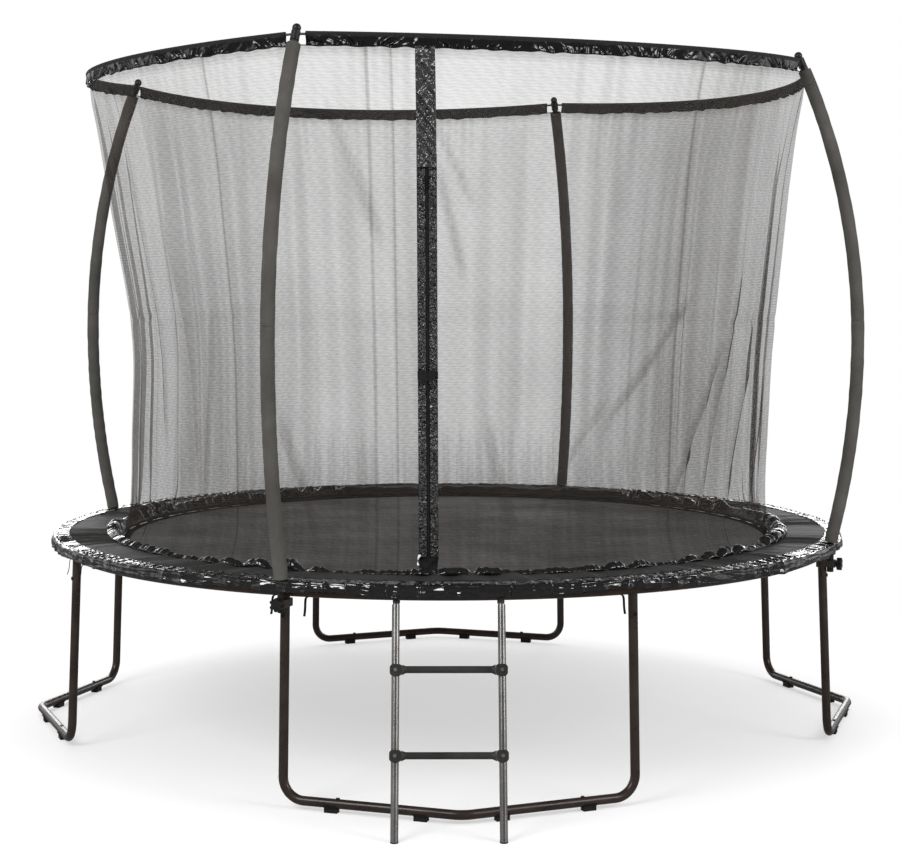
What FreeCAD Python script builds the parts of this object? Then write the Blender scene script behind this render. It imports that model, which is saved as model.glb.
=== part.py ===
"""Round garden trampoline, 3.05 m across, with an inner safety net and a hook-on ladder.

Millimetres, +Z up. The origin is on the ground, under the middle of the mat. The ladder
stands on the -Y side. The driving dimensions are the cells of the "sizes" sheet.
"""
import math
import os

import FreeCAD
import Part

from FreeCAD import Matrix, Placement, Rotation, Vector

doc = FreeCAD.newDocument("trampoline")
sheet = doc.addObject("Spreadsheet::Sheet", "sizes")

SIZES = {
    # steel frame ring: eight bent rails on a circle
    "frame_radius": 1506.0,
    "frame_tube": 19.0,
    "frame_bore": 17.5,
    "frame_height": 725.0,
    "rail_angle": 45.0,
    "spigot_angle": 4.0,
    # four W legs: two uprights and a base bar with an outward bend
    "leg_tube": 16.0,
    "leg_bore": 14.6,
    "base_height": 30.0,
    "post_splay": 31.0,
    "base_turn": 20.5,
    "post_bend": 75.0,
    "post_drop": 612.7,
    "vee_bend": 90.0,
    "seam_reach": 208.0,
    "stub_radius": 13.9,
    "stub_bore": 12.4,
    "stub_length": 80.0,
    "foot_radius": 20.0,
    "foot_length": 45.0,
    # curved enclosure poles
    "pole_tube": 12.5,
    "pole_bore": 11.3,
    "pole_base_radius": 1538.5,
    "pole_bulge_radius": 1627.0,
    "pole_bulge_height": 1500.0,
    "pole_foot_height": 655.0,
    "pole_straight": 75.0,
    "pole_kick_bend": 350.0,
    "foam_radius": 24.0,
    "foam_bore": 12.9,
    "foam_foot_height": 768.0,
    # top ring of fibreglass rod in a fabric band
    "ring_radius": 1400.0,
    "ring_height": 2553.0,
    "ring_sag": 30.0,
    "rod_radius": 4.0,
    "band_width": 50.0,
    "band_depth": 14.0,
    # jumping mat, its rings and springs
    "mat_radius": 1290.0,
    "mat_height": 733.0,
    "mat_depth": 3.0,
    "hem_width": 28.0,
    "spring_count": 56.0,
    "spring_radius": 10.0,
    "spring_hook": 1.6,
    # padded spring cover
    "pad_inner": 1308.0,
    "pad_outer": 1554.6,
    "pad_floor": 748.5,
    "pad_depth": 18.0,
    "cover_sheet": 1.3,
    "skirt_sheet": 1.6,
    "skirt_foot": 720.0,
    # ladder hooked on the frame tube
    "ladder_tube": 12.5,
    "ladder_bore": 11.2,
    "ladder_half_width": 171.0,
    "ladder_lean": 22.8,
    "ladder_top": 700.0,
    "ladder_upper_rung": 500.0,
    "ladder_lower_rung": 247.0,
    # star knobs
    "knob_radius": 17.0,
    "knob_depth": 18.0,
    "lobe_radius": 6.5,
    "stud_radius": 3.8,
}
for row, (alias, value) in enumerate(SIZES.items(), start=1):
    sheet.set(f"A{row}", alias)
    sheet.set(f"B{row}", str(value))
    sheet.setAlias(f"B{row}", alias)
doc.recompute()

size = {alias: float(sheet.get(alias)) for alias in SIZES}
nodes = []

POST_ANGLES = [-112.5 + 45.0 * k for k in range(8)]
LEG_ANGLES = {"front": -90.0, "right": 0.0, "back": 90.0, "left": 180.0}
POLE_ANGLES = [-112.5, -22.5, 67.5, 157.5]
LADDER_ANGLE = -91.5
ZIP_ANGLE = -94.6


def polar(radius, angle, height=0.0):
    """Point at a radius and an angle in degrees about the trampoline's axis."""
    turn = math.radians(angle)
    return Vector(radius * math.cos(turn), radius * math.sin(turn), height)


def keep(thing, label):
    """Name a finished sub-part and list it as a node."""
    thing.Label = label
    nodes.append((label, thing))
    return thing


def add(kind, name, expressions=None, place=None):
    """Add a Part object, bind its sizes to the sheet and place it."""
    thing = doc.addObject(kind, name)
    for prop, formula in (expressions or {}).items():
        thing.setExpression(prop, formula)
    if place is not None:
        thing.Placement = place
    return thing


def cut(name, base, tool):
    thing = doc.addObject("Part::Cut", name)
    thing.Base = base
    thing.Tool = tool
    return thing


def fuse(name, pieces):
    thing = doc.addObject("Part::MultiFuse", name)
    thing.Shapes = pieces
    return thing


def group(label, shapes):
    """A node of several like solids that share one file."""
    thing = doc.addObject("Part::Feature", label)
    thing.Shape = Part.makeCompound(shapes)
    return keep(thing, label)


def axes_place(origin, x_axis, z_axis):
    """Placement with its local X and Z axes along two square directions."""
    x_unit = Vector(x_axis).normalize()
    z_unit = Vector(z_axis).normalize()
    y_unit = z_unit.cross(x_unit)
    matrix = Matrix(
        x_unit.x, y_unit.x, z_unit.x, origin.x,
        x_unit.y, y_unit.y, z_unit.y, origin.y,
        x_unit.z, y_unit.z, z_unit.z, origin.z,
        0, 0, 0, 1,
    )
    return Placement(matrix)


def along(origin, direction):
    """Placement whose Z axis runs along a direction."""
    return Placement(origin, Rotation(Vector(0, 0, 1), direction))


def run_pieces(name, runs, radius, frame):
    """Round bar in the XZ plane of a frame: straight runs and bends, one after the other.

    Each run is ("line", length) or ("bend", radius, degrees), a positive bend turning from
    +Z towards +X. The bar starts at the frame's origin and heads along +Z.
    """
    pieces = []
    spot = Vector(0, 0, 0)
    heading = 0.0
    for number, run in enumerate(runs):
        ahead = Vector(math.sin(math.radians(heading)), 0, math.cos(math.radians(heading)))
        if run[0] == "line":
            bar = add("Part::Cylinder", f"{name}_run{number}", {"Radius": radius})
            bar.Height = run[1]
            bar.Placement = frame.multiply(along(spot, ahead))
            spot = spot + ahead * run[1]
        else:
            bend, turn = run[1], run[2]
            side = 1.0 if turn > 0 else -1.0
            right = Vector(ahead.z, 0, -ahead.x) * side
            centre = spot + right * bend
            bar = add("Part::Torus", f"{name}_bend{number}", {"Radius2": radius})
            bar.Radius1 = bend
            bar.Angle3 = abs(turn)
            bar.Placement = frame.multiply(axes_place(centre, right * -1, Vector(0, side, 0)))
            heading += turn
            ahead = Vector(math.sin(math.radians(heading)), 0, math.cos(math.radians(heading)))
            spot = centre - Vector(ahead.z, 0, -ahead.x) * (side * bend)
        pieces.append(bar)
    return pieces[0] if len(pieces) == 1 else fuse(name, pieces)


def bent_tube(name, runs, outer, inner, frame):
    """Hollow bent tube: the outer bar less the bore."""
    return cut(
        name,
        run_pieces(f"{name}_outside", runs, outer, frame),
        run_pieces(f"{name}_inside", runs, inner, frame),
    )


# Frame ring: eight rails bent from 38 mm steel tube, joined end to end over inner spigots.
frame_place = Placement(Vector(0, 0, size["frame_height"]), Rotation())


def ring_piece(name, tube, sweep, start):
    """Piece of a round bar bent on the frame's circle."""
    bounds = {"Radius1": "sizes.frame_radius", "Radius2": tube, "Angle3": sweep}
    place = frame_place.multiply(Placement(Vector(), Rotation(Vector(0, 0, 1), start)))
    return add("Part::Torus", name, bounds, place)


rails = [
    cut(
        f"rail_tube_{number}",
        ring_piece(f"rail_skin_{number}", "sizes.frame_tube", "sizes.rail_angle", angle),
        ring_piece(f"rail_bore_{number}", "sizes.frame_bore", "sizes.rail_angle", angle),
    )
    for number, angle in enumerate(POST_ANGLES, start=1)
]

spigot = cut(
    "spigot",
    ring_piece("spigot_skin", "sizes.frame_bore - 0.2", "sizes.spigot_angle", 0),
    ring_piece("spigot_bore", "sizes.frame_bore - 1.6", "sizes.spigot_angle", 0),
)
rail_envelope = ring_piece("rail_envelope", "sizes.frame_tube + 0.3", "360", 0)
doc.recompute()


def turned(shape, angle):
    """Copy of a shape turned about the trampoline's axis."""
    copy = shape.copy()
    copy.rotate(Vector(), Vector(0, 0, 1), angle)
    return copy


half_spigot = size["spigot_angle"] / 2
spigots = [turned(spigot.Shape, angle - half_spigot) for angle in POST_ANGLES]

# Legs. Each upright is one tube: a post that plugs over a stub under the frame, a bend, and
# a short foot run. The foot runs plug onto a base bar that is bent outward in its middle.
beta = math.radians(size["base_turn"])
rise = size["frame_height"] - size["base_height"]
post_length = math.hypot(rise, size["post_splay"])
half_leg = math.radians(22.5)


def leg_frame(leg_angle, side):
    """Frame at an upright's lower corner: X along the base bar, Z up along the post."""
    turn = Rotation(Vector(0, 0, 1), leg_angle)
    top = Vector(math.cos(half_leg), side * math.sin(half_leg), 0) * size["frame_radius"]
    lean = Vector(math.cos(beta), side * math.sin(beta), 0) * size["post_splay"]
    corner = top + lean + Vector(0, 0, size["base_height"])
    inward = Vector(math.sin(beta), -side * math.cos(beta), 0)
    upward = Vector(0, 0, rise) - lean
    return axes_place(turn.multVec(corner), turn.multVec(inward), turn.multVec(upward))


def outward_in(frame, post_angle):
    """The radial direction as seen in an upright's own frame, square to the post."""
    way = frame.inverse().Rotation.multVec(polar(1, post_angle))
    return Vector(way.x, way.y, 0).normalize()


BOLT_RADIUS = 3.0
HOLE_RADIUS = 3.3
post_bolt_height = post_length - 84
seam_bolt_reach = 196.0
upright_runs = [
    ("line", size["seam_reach"] - size["post_bend"]),
    ("bend", size["post_bend"], 90.0),
    ("line", size["post_drop"]),
]
bolt = Part.makeCylinder(BOLT_RADIUS, 9).fuse(
    Part.makeCylinder(6.5, 3.5, Vector(0, 0, -3.5), Vector(0, 0, 1))
).removeSplitter()
bolts = []
stubs = {}
feet = []
upright_number = 0
for leg_name, leg_angle in LEG_ANGLES.items():
    for side in (-1, 1):
        upright_number += 1
        name = f"leg_upright_{upright_number}"
        post_angle = leg_angle + side * 22.5
        frame = leg_frame(leg_angle, side)
        # the tube starts at the seam, runs to the corner and climbs to the frame
        start = frame.multiply(
            axes_place(Vector(size["seam_reach"], 0, 0), Vector(0, 0, 1), Vector(-1, 0, 0))
        )
        tube = bent_tube(name, upright_runs, "sizes.leg_tube", "sizes.leg_bore", start)
        outward = outward_in(frame, post_angle)
        drill_spots = [
            (Vector(0, 0, post_bolt_height) + outward * size["leg_tube"], outward * -1),
            (Vector(seam_bolt_reach, 0, size["leg_tube"]), Vector(0, 0, -1)),
        ]
        drills = []
        for spot, inward in drill_spots:
            hole = Part.makeCylinder(HOLE_RADIUS, 12, spot - inward * 2, inward)
            hole.transformShape(frame.toMatrix())
            drills.append(hole)
            screw = bolt.copy()
            screw.Placement = frame.multiply(along(spot, inward))
            bolts.append(screw)
        drill = doc.addObject("Part::Feature", f"{name}_holes")
        drill.Shape = Part.makeCompound(drills)
        tools = fuse(f"{name}_tools", [drill, rail_envelope])
        keep(cut(f"{name}_drilled", tube, tools), name)
        # stub welded under the frame, inside the post, and spigot inside the seam
        stub_top = Vector(0, 0, post_length - size["stub_length"] - size["frame_tube"])
        stub = Part.makeCylinder(size["stub_radius"], size["stub_length"] + 8, stub_top)
        stub = stub.cut(Part.makeCylinder(size["stub_bore"], size["stub_length"] + 8, stub_top))
        stub.transformShape(frame.toMatrix())
        stub_tool = Part.makeTorus(size["frame_radius"], size["frame_tube"] + 0.05,
                                   Vector(0, 0, size["frame_height"]))
        stubs[round(post_angle % 360, 1)] = stub.cut(stub_tool).cut(drills[0])
        inside = Vector(size["seam_reach"] - 55, 0, 0)
        plug = Part.makeCylinder(size["stub_radius"], 110, inside, Vector(1, 0, 0))
        plug = plug.cut(Part.makeCylinder(size["stub_bore"], 110, inside, Vector(1, 0, 0)))
        plug.transformShape(frame.toMatrix())
        spigots.append(plug.cut(drills[1]))

    # base bar: two straight arms and the outward bend in the middle
    frame = leg_frame(leg_angle, 1)
    arm = (size["frame_radius"] * math.sin(half_leg) + size["post_splay"] * math.sin(beta))
    arm = arm / math.cos(beta)
    vee = 2 * size["base_turn"]
    tangent = size["vee_bend"] * math.tan(math.radians(vee / 2))
    straight = arm - size["seam_reach"] - tangent
    inward = frame.Rotation.multVec(Vector(1, 0, 0))
    seam = frame.multVec(Vector(size["seam_reach"], 0, 0))
    outward = polar(1, leg_angle) * -1
    flat_side = (outward - inward * outward.dot(inward)).normalize()
    start = axes_place(seam, flat_side, inward)
    base_runs = [("line", straight), ("bend", size["vee_bend"], vee), ("line", straight)]
    base = bent_tube(f"base_tube_{leg_name}", base_runs, "sizes.leg_tube", "sizes.leg_bore", start)
    keep(base, f"leg_base_{leg_name}")
    # rubber pads clipped under the bars: one each side of the bend, one inside each seam
    for side in (-1, 1):
        frame = leg_frame(leg_angle, side)
        for reach in (arm - 140, size["seam_reach"] - 34):
            clip = Part.makeCylinder(size["foot_radius"], size["foot_length"]).common(
                Part.makeBox(40, 60, size["foot_length"], Vector(-46, -30, 0)))
            sole = Part.makeBox(size["base_height"] - 10, 26, size["foot_length"],
                                Vector(-size["base_height"], -13, 0))
            shoe = clip.fuse(sole).cut(
                Part.makeCylinder(size["leg_tube"] + 0.25, size["foot_length"])).removeSplitter()
            middle = frame.multVec(Vector(reach, 0, 0))
            bar_way = frame.Rotation.multVec(Vector(1, 0, 0))
            start = axes_place(middle - bar_way * (size["foot_length"] / 2),
                               Vector(0, 0, 1), bar_way)
            shoe.Placement = start
            feet.append(shoe)
doc.recompute()
for number, (rail, angle) in enumerate(zip(rails, POST_ANGLES), start=1):
    group(f"frame_rail_{number}", [rail.Shape, stubs[round(angle % 360, 1)]])
group("tube_spigots", spigots)
group("leg_bolts", bolts)
group("leg_feet", feet)

# Enclosure poles: a straight foot beside the frame tube, a slight kick outward, then a long
# bow that bulges at mid height and leans inward at the top. Two tubes each, in foam sleeves.
kick_height = size["pole_foot_height"] + size["pole_straight"]
bow_rise = size["pole_bulge_height"] - kick_height
bow_out = size["pole_bulge_radius"] - size["pole_base_radius"]
kick = 2 * math.atan2(bow_out, bow_rise)
lower_bow = bow_rise / math.sin(kick) - size["pole_kick_bend"]
top_rise = size["ring_height"] - size["pole_bulge_height"]
top_in = size["pole_bulge_radius"] - size["ring_radius"]
upper_bow = (top_rise ** 2 + top_in ** 2) / (2 * top_in)
top_turn = math.asin(top_rise / upper_bow)
JOINT_TURN = 2.2
foam_kick = math.asin((size["foam_foot_height"] - kick_height) / size["pole_kick_bend"])
tube_end_turn = math.degrees(top_turn) - 0.55
foam_end_turn = math.degrees(top_turn) - 0.85


def bow_frame(pole_angle, at_turn, bow):
    """Frame on the bow at an angle from its bulge, its Z along the pole, X outward."""
    turn = math.radians(at_turn)
    radius = size["pole_bulge_radius"] - bow * (1 - math.cos(turn))
    height = size["pole_bulge_height"] + bow * math.sin(turn)
    spin = Rotation(Vector(0, 0, 1), pole_angle)
    way = Vector(-math.sin(turn), 0, math.cos(turn))
    out = Vector(math.cos(turn), 0, math.sin(turn))
    return axes_place(spin.multVec(Vector(radius, 0, height)), spin.multVec(out),
                      spin.multVec(way))


caps = []
brackets = []
knobs = []
BRACKET_HEIGHT = 686.0
for number, pole_angle in enumerate(POLE_ANGLES, start=1):
    spin = Placement(Vector(), Rotation(Vector(0, 0, 1), pole_angle))
    foot = Vector(size["pole_base_radius"], 0, size["pole_foot_height"])
    start = spin.multiply(Placement(foot, Rotation()))
    kick_degrees = math.degrees(kick)
    lower_runs = [
        ("line", size["pole_straight"]),
        ("bend", size["pole_kick_bend"], kick_degrees),
        ("bend", lower_bow, -kick_degrees),
        ("bend", upper_bow, -JOINT_TURN),
    ]
    lower = bent_tube(f"pole_lower_{number}", lower_runs, "sizes.pole_tube",
                      "sizes.pole_bore", start)
    upper_start = bow_frame(pole_angle, JOINT_TURN + 0.01, upper_bow)
    upper_runs = [("bend", upper_bow, -(tube_end_turn - JOINT_TURN - 0.01))]
    upper = bent_tube(f"pole_upper_{number}", upper_runs, "sizes.pole_tube",
                      "sizes.pole_bore", upper_start)
    doc.recompute()
    group(f"pole_{number}", [lower.Shape, upper.Shape])
    # the sleeve starts part of the way up the kick
    foam_foot = Vector(size["pole_base_radius"]
                       + size["pole_kick_bend"] * (1 - math.cos(foam_kick)), 0,
                       size["foam_foot_height"])
    foam_start = spin.multiply(Placement(foam_foot, Rotation(
        Vector(0, 1, 0), math.degrees(foam_kick))))
    foam_lower_runs = [
        ("bend", size["pole_kick_bend"], kick_degrees - math.degrees(foam_kick)),
        ("bend", lower_bow, -kick_degrees),
        ("bend", upper_bow, -(JOINT_TURN - 0.02)),
    ]
    foam_lower = bent_tube(f"foam_lower_{number}", foam_lower_runs, "sizes.foam_radius",
                           "sizes.foam_bore", foam_start)
    foam_upper_start = bow_frame(pole_angle, JOINT_TURN + 0.02, upper_bow)
    foam_upper_runs = [("bend", upper_bow, -(foam_end_turn - JOINT_TURN - 0.02))]
    foam_upper = bent_tube(f"foam_upper_{number}", foam_upper_runs, "sizes.foam_radius",
                           "sizes.foam_bore", foam_upper_start)
    doc.recompute()
    group(f"pole_foam_{number}", [foam_lower.Shape, foam_upper.Shape])

    # cap: a plug over the tube's end, a neck with a cross hole for the ring rod, a ball top
    cap_frame = bow_frame(pole_angle, tube_end_turn + 0.01, upper_bow)
    cap = Part.makeCylinder(15.5, 34).fuse(Part.makeCylinder(11, 40)).fuse(
        Part.makeSphere(15, Vector(0, 0, 46)))
    cap = cap.removeSplitter()
    cap.Placement = cap_frame
    hole_way = polar(1, pole_angle + 90)
    hole_spot = polar(size["ring_radius"], pole_angle, size["ring_height"])
    cross = Part.makeCylinder(size["rod_radius"] + 0.9, 60, hole_spot - hole_way * 30, hole_way)
    caps.append(cap.cut(cross))

    # clamp block that holds the pole's foot to the leg post, with the knob's hole
    block = Part.makeBox(70, 42, 26, Vector(1488, -21, BRACKET_HEIGHT - 13))
    block = block.makeFillet(6, [edge for edge in block.Edges
                                 if abs(edge.tangentAt(edge.FirstParameter).z) > 0.9])
    pole_hole = Part.makeCylinder(size["pole_tube"] + 0.3, 60,
                                  Vector(size["pole_base_radius"], 0, 650))
    stud_hole = Part.makeCylinder(size["stud_radius"] + 0.3, 30,
                                  Vector(size["pole_base_radius"], 0, BRACKET_HEIGHT),
                                  Vector(1, 0, 0))
    block = turned(block.cut(pole_hole).cut(stud_hole), pole_angle)
    leg_frame_here = leg_frame(pole_angle + 22.5, -1)
    post_hole = Part.makeCylinder(size["leg_tube"] + 0.4, 200, Vector(0, 0, post_length - 200))
    post_hole.transformShape(leg_frame_here.toMatrix())
    brackets.append(block.cut(post_hole))

    # star knob with a moulded-in stud that presses the pole into the clamp
    head = Part.makeCylinder(size["knob_radius"], size["knob_depth"])
    for lobe in range(6):
        turn = math.radians(60 * lobe)
        spot = Vector(math.cos(turn), math.sin(turn), 0) * size["knob_radius"]
        head = head.fuse(Part.makeCylinder(size["lobe_radius"], size["knob_depth"], spot))
    hub = Part.makeCylinder(9, 5, Vector(0, 0, -4))
    stud = Part.makeCylinder(size["stud_radius"], 12, Vector(0, 0, -12))
    head = head.fuse([hub, stud]).removeSplitter()
    knob_spot = polar(1563.5, pole_angle, BRACKET_HEIGHT)
    out = polar(1, pole_angle)
    knob = doc.addObject("Part::Feature", f"star_knob_{number}")
    knob.Shape = head
    knob.Placement = axes_place(knob_spot, Vector(0, 0, 1), out)
    keep(knob, f"star_knob_{number}")
group("pole_caps", caps)
group("pole_brackets", brackets)

# Top ring: four bent rods from cap to cap, each sagging a little between the poles, in a
# fabric band that leaves the rod bare beside every cap.
chord = size["ring_radius"] * math.cos(math.radians(45))
sagitta = size["ring_radius"] - chord
tilt = math.degrees(math.asin(size["ring_sag"] / sagitta))
BAND_GAP_TURN = 2.0
ROD_GAP_TURN = 0.15


def sagged(shape, middle_angle):
    """Tip a level quarter of the ring about the chord between its two poles."""
    copy = shape.copy()
    copy.rotate(Vector(chord, 0, size["ring_height"]), Vector(0, 1, 0), tilt)
    return turned(copy, middle_angle)


def quarter(profile, gap_turn):
    """Revolve a profile from one pole to the next, less a gap at each end."""
    swept = profile.revolve(Vector(), Vector(0, 0, 1), 90 - 2 * gap_turn)
    return turned(swept, gap_turn - 45)


rod_face = Part.Face(Part.Wire(Part.makeCircle(
    size["rod_radius"], Vector(size["ring_radius"], 0, size["ring_height"]), Vector(0, 1, 0))))
band_top = size["ring_height"] + 12
band_foot = band_top - size["band_width"]
half_band = size["band_depth"] / 2
outer_line = size["ring_radius"] + half_band
inner_line = size["ring_radius"] - half_band
upper_mid = band_top - half_band
lower_mid = band_foot + half_band
band_outline = Part.Wire([
    Part.LineSegment(Vector(outer_line, 0, lower_mid), Vector(outer_line, 0, upper_mid)).toShape(),
    Part.Arc(Vector(outer_line, 0, upper_mid), Vector(size["ring_radius"], 0, band_top),
             Vector(inner_line, 0, upper_mid)).toShape(),
    Part.LineSegment(Vector(inner_line, 0, upper_mid), Vector(inner_line, 0, lower_mid)).toShape(),
    Part.Arc(Vector(inner_line, 0, lower_mid), Vector(size["ring_radius"], 0, band_foot),
             Vector(outer_line, 0, lower_mid)).toShape(),
])
rod_hole = Part.makeCircle(size["rod_radius"] + 0.4,
                           Vector(size["ring_radius"], 0, size["ring_height"]), Vector(0, 1, 0))
band_face = Part.Face(band_outline).cut(Part.Face(Part.Wire(rod_hole))).Faces[0]
SPAN_ANGLES = [-67.5, 22.5, 112.5, 202.5]
group("ring_rods", [sagged(quarter(rod_face, ROD_GAP_TURN), angle) for angle in SPAN_ANGLES])
group("ring_sleeve", [sagged(quarter(band_face, BAND_GAP_TURN), angle) for angle in SPAN_ANGLES])

# Jumping mat: a round sheet of woven plastic with a sewn webbing hem whose loops hold rings.
mat_foot = size["mat_height"] - size["mat_depth"] / 2
mat_top = size["mat_height"] + size["mat_depth"] / 2
mat = add("Part::Cylinder", "jump_mat",
          {"Radius": "sizes.mat_radius", "Height": "sizes.mat_depth"},
          Placement(Vector(0, 0, mat_foot), Rotation()))
keep(mat, "jump_mat")
hem_plate = Part.makeCylinder(size["mat_radius"], 2.5, Vector(0, 0, mat_top))
hem_plate = hem_plate.cut(Part.makeCylinder(size["mat_radius"] - size["hem_width"], 2.5,
                                            Vector(0, 0, mat_top)))
spring_step = 360.0 / size["spring_count"]
spring_start = LADDER_ANGLE + spring_step / 2
spring_angles = [spring_start + spring_step * k for k in range(int(size["spring_count"]))]
RING_BAR = 2.0
bar_radius = size["mat_radius"] + 7
tip_radius = bar_radius + 28
loop = Part.makeBox(13, 18, 7, Vector(size["mat_radius"] + 0.3, -9, size["mat_height"] - 3.5))
loop = loop.cut(Part.makeCylinder(RING_BAR + 0.3, 60, Vector(bar_radius, -30, size["mat_height"]),
                                  Vector(0, 1, 0)))
group("mat_hem", [hem_plate] + [turned(loop, angle) for angle in spring_angles])
corners = [
    Vector(bar_radius, -17, size["mat_height"]),
    Vector(bar_radius, 17, size["mat_height"]),
    Vector(tip_radius, 0, size["mat_height"]),
]
ring_shape = None
for first, second in zip(corners, corners[1:] + corners[:1]):
    bar = Part.makeCylinder(RING_BAR, (second - first).Length, first, second - first)
    bar = bar.fuse(Part.makeSphere(RING_BAR, first))
    ring_shape = bar if ring_shape is None else ring_shape.fuse(bar)
ring_shape = ring_shape.removeSplitter()
group("mat_rings", [turned(ring_shape, angle) for angle in spring_angles])

# Springs: closed coils with a hook at each end, one from every ring to the frame tube.
hook_start = tip_radius + RING_BAR + 0.6
coil_start = hook_start + 18
rail_side = size["frame_radius"] - size["frame_tube"]
coil_end = rail_side - 20
hook_end = rail_side + 1.2
level = size["mat_height"]
spring_shape = Part.makeCylinder(size["spring_radius"], coil_end - coil_start,
                                 Vector(coil_start, 0, level), Vector(1, 0, 0))
spring_shape = spring_shape.fuse(
    Part.makeCylinder(size["spring_hook"], hook_end - hook_start,
                      Vector(hook_start, 0, level), Vector(1, 0, 0))).removeSplitter()
group("springs", [turned(spring_shape, angle) for angle in spring_angles])

# Padded spring cover: a foam ring in a sheet cover, with a skirt that hangs past the frame.
pad_top = size["pad_floor"] + size["pad_depth"]


def ring_of(points):
    """Ring with a straight-sided section, revolved about the trampoline's axis."""
    wire = Part.makePolygon([Vector(radius, 0, height) for radius, height in points]
                            + [Vector(points[0][0], 0, points[0][1])])
    return Part.Face(wire).revolve(Vector(), Vector(0, 0, 1), 360)


thin = size["cover_sheet"]
crown = 4.0
foam_outline = [
    (size["pad_inner"] + 3, size["pad_floor"] + thin + 0.3),
    (size["pad_outer"] - 3, size["pad_floor"] + thin + 0.3),
    (size["pad_outer"] - 3, pad_top - crown - thin - 0.3),
    (size["pad_outer"] - 30, pad_top - thin - 0.3),
    (size["pad_inner"] + 30, pad_top - thin - 0.3),
    (size["pad_inner"] + 3, pad_top - crown - thin - 0.3),
]
cover_outline = [
    (size["pad_inner"], size["pad_floor"]),
    (size["pad_outer"], size["pad_floor"]),
    (size["pad_outer"], pad_top - crown),
    (size["pad_outer"] - 30, pad_top),
    (size["pad_inner"] + 30, pad_top),
    (size["pad_inner"], pad_top - crown),
    (size["pad_inner"], size["pad_floor"] + 3),
    (size["pad_inner"] + 2.5, size["pad_floor"] + 3),
    (size["pad_inner"] + 2.5, pad_top - crown - thin + 0.1),
    (size["pad_inner"] + 30, pad_top - thin),
    (size["pad_outer"] - 30, pad_top - thin),
    (size["pad_outer"] - 2.5, pad_top - crown - thin + 0.1),
    (size["pad_outer"] - 2.5, size["pad_floor"] + thin),
    (size["pad_inner"], size["pad_floor"] + thin),
]
skirt_inner = size["pad_outer"] + 0.4
skirt_outline = [
    (skirt_inner, size["skirt_foot"]),
    (skirt_inner + size["skirt_sheet"], size["skirt_foot"]),
    (skirt_inner + size["skirt_sheet"], pad_top - crown - 0.4),
    (skirt_inner, pad_top - crown - 0.4),
]
pole_holes = [
    Part.makeCylinder(size["pole_tube"] + 1.6, 60, polar(size["pole_base_radius"] + 0.4, angle, 730))
    for angle in POLE_ANGLES
]
pad_foam = ring_of(foam_outline)
pad_cover = ring_of(cover_outline)
for hole in pole_holes:
    pad_foam = pad_foam.cut(hole)
    pad_cover = pad_cover.cut(hole)
group("pad_foam", [pad_foam])
group("pad_cover", [pad_cover])
group("pad_skirt", [ring_of(skirt_outline)])

# Elastic ties that hold the cover down: a webbing tab beside every post, hanging free.
TIE_ANGLES = [angle + offset for angle in POST_ANGLES for offset in (-3.2, 3.6)]
tie_path = [(1500, 704.8), (1516, 700), (1520, 672), (1527, 645), (1529, 645), (1522.5, 672),
            (1518.5, 701.5), (1500, 705.6)]
tie_face = Part.Face(Part.makePolygon(
    [Vector(radius, -4, height) for radius, height in tie_path + tie_path[:1]]))
tie = tie_face.extrude(Vector(0, 8, 0))
group("pad_ties", [turned(tie, angle) for angle in TIE_ANGLES])

# Safety net: sixteen gathered panels between the zip's two edges, each with two upright
# folds, standing on the mat's edge and flaring to the band at the top. Panels meet at the
# poles. Each is cut into three tiers, so that every tier is nearly flat.
NET_SHEET = 2.4
NET_PANELS = [3, 4, 4, 4, 1]
FOLDS_PER_PANEL = 2
ZIP_HALF_WIDTH = 34.0
ZIP_FOOT = Vector(1228, 0, 800)
ZIP_WALL_TOP = Vector(1322, 0, 2120)
ZIP_FLARE = Vector(1350, 0, 2310)
ZIP_HEAD = Vector(1392, 0, 2478)
NET_SECTIONS = [(741.0, 1289.0, 2.0), (860.0, 1236.0, 10.0), (1450.0, 1262.0, 9.0),
                (2120.0, 1322.0, 7.0), (2310.0, 1352.0, 4.0)]
NET_TIERS = [(0, 1), (1, 3), (3, 5)]
zip_turn = math.degrees(ZIP_HALF_WIDTH / ZIP_FOOT.x)
net_bounds = ([ZIP_ANGLE + zip_turn] + [angle % 360 - 360 * (angle % 360 > 300)
                                        for angle in POLE_ANGLES[1:] + POLE_ANGLES[:1]]
              + [ZIP_ANGLE + 360 - zip_turn])


def span_of(angle):
    """Middle angle of the ring's span that an angle falls in."""
    return min(SPAN_ANGLES, key=lambda middle: abs((angle - middle + 180) % 360 - 180))


def net_point(angle, radius, height, middle):
    """Point of the net; the top section follows the sagging band of its own span."""
    point = polar(radius, angle, 0)
    if height is not None:
        return point + Vector(0, 0, height)
    reach = radius * math.cos(math.radians(angle - middle)) - chord
    drop = reach * math.tan(math.radians(tilt))
    return point + Vector(0, 0, band_foot - 3.0 - drop)


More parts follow.
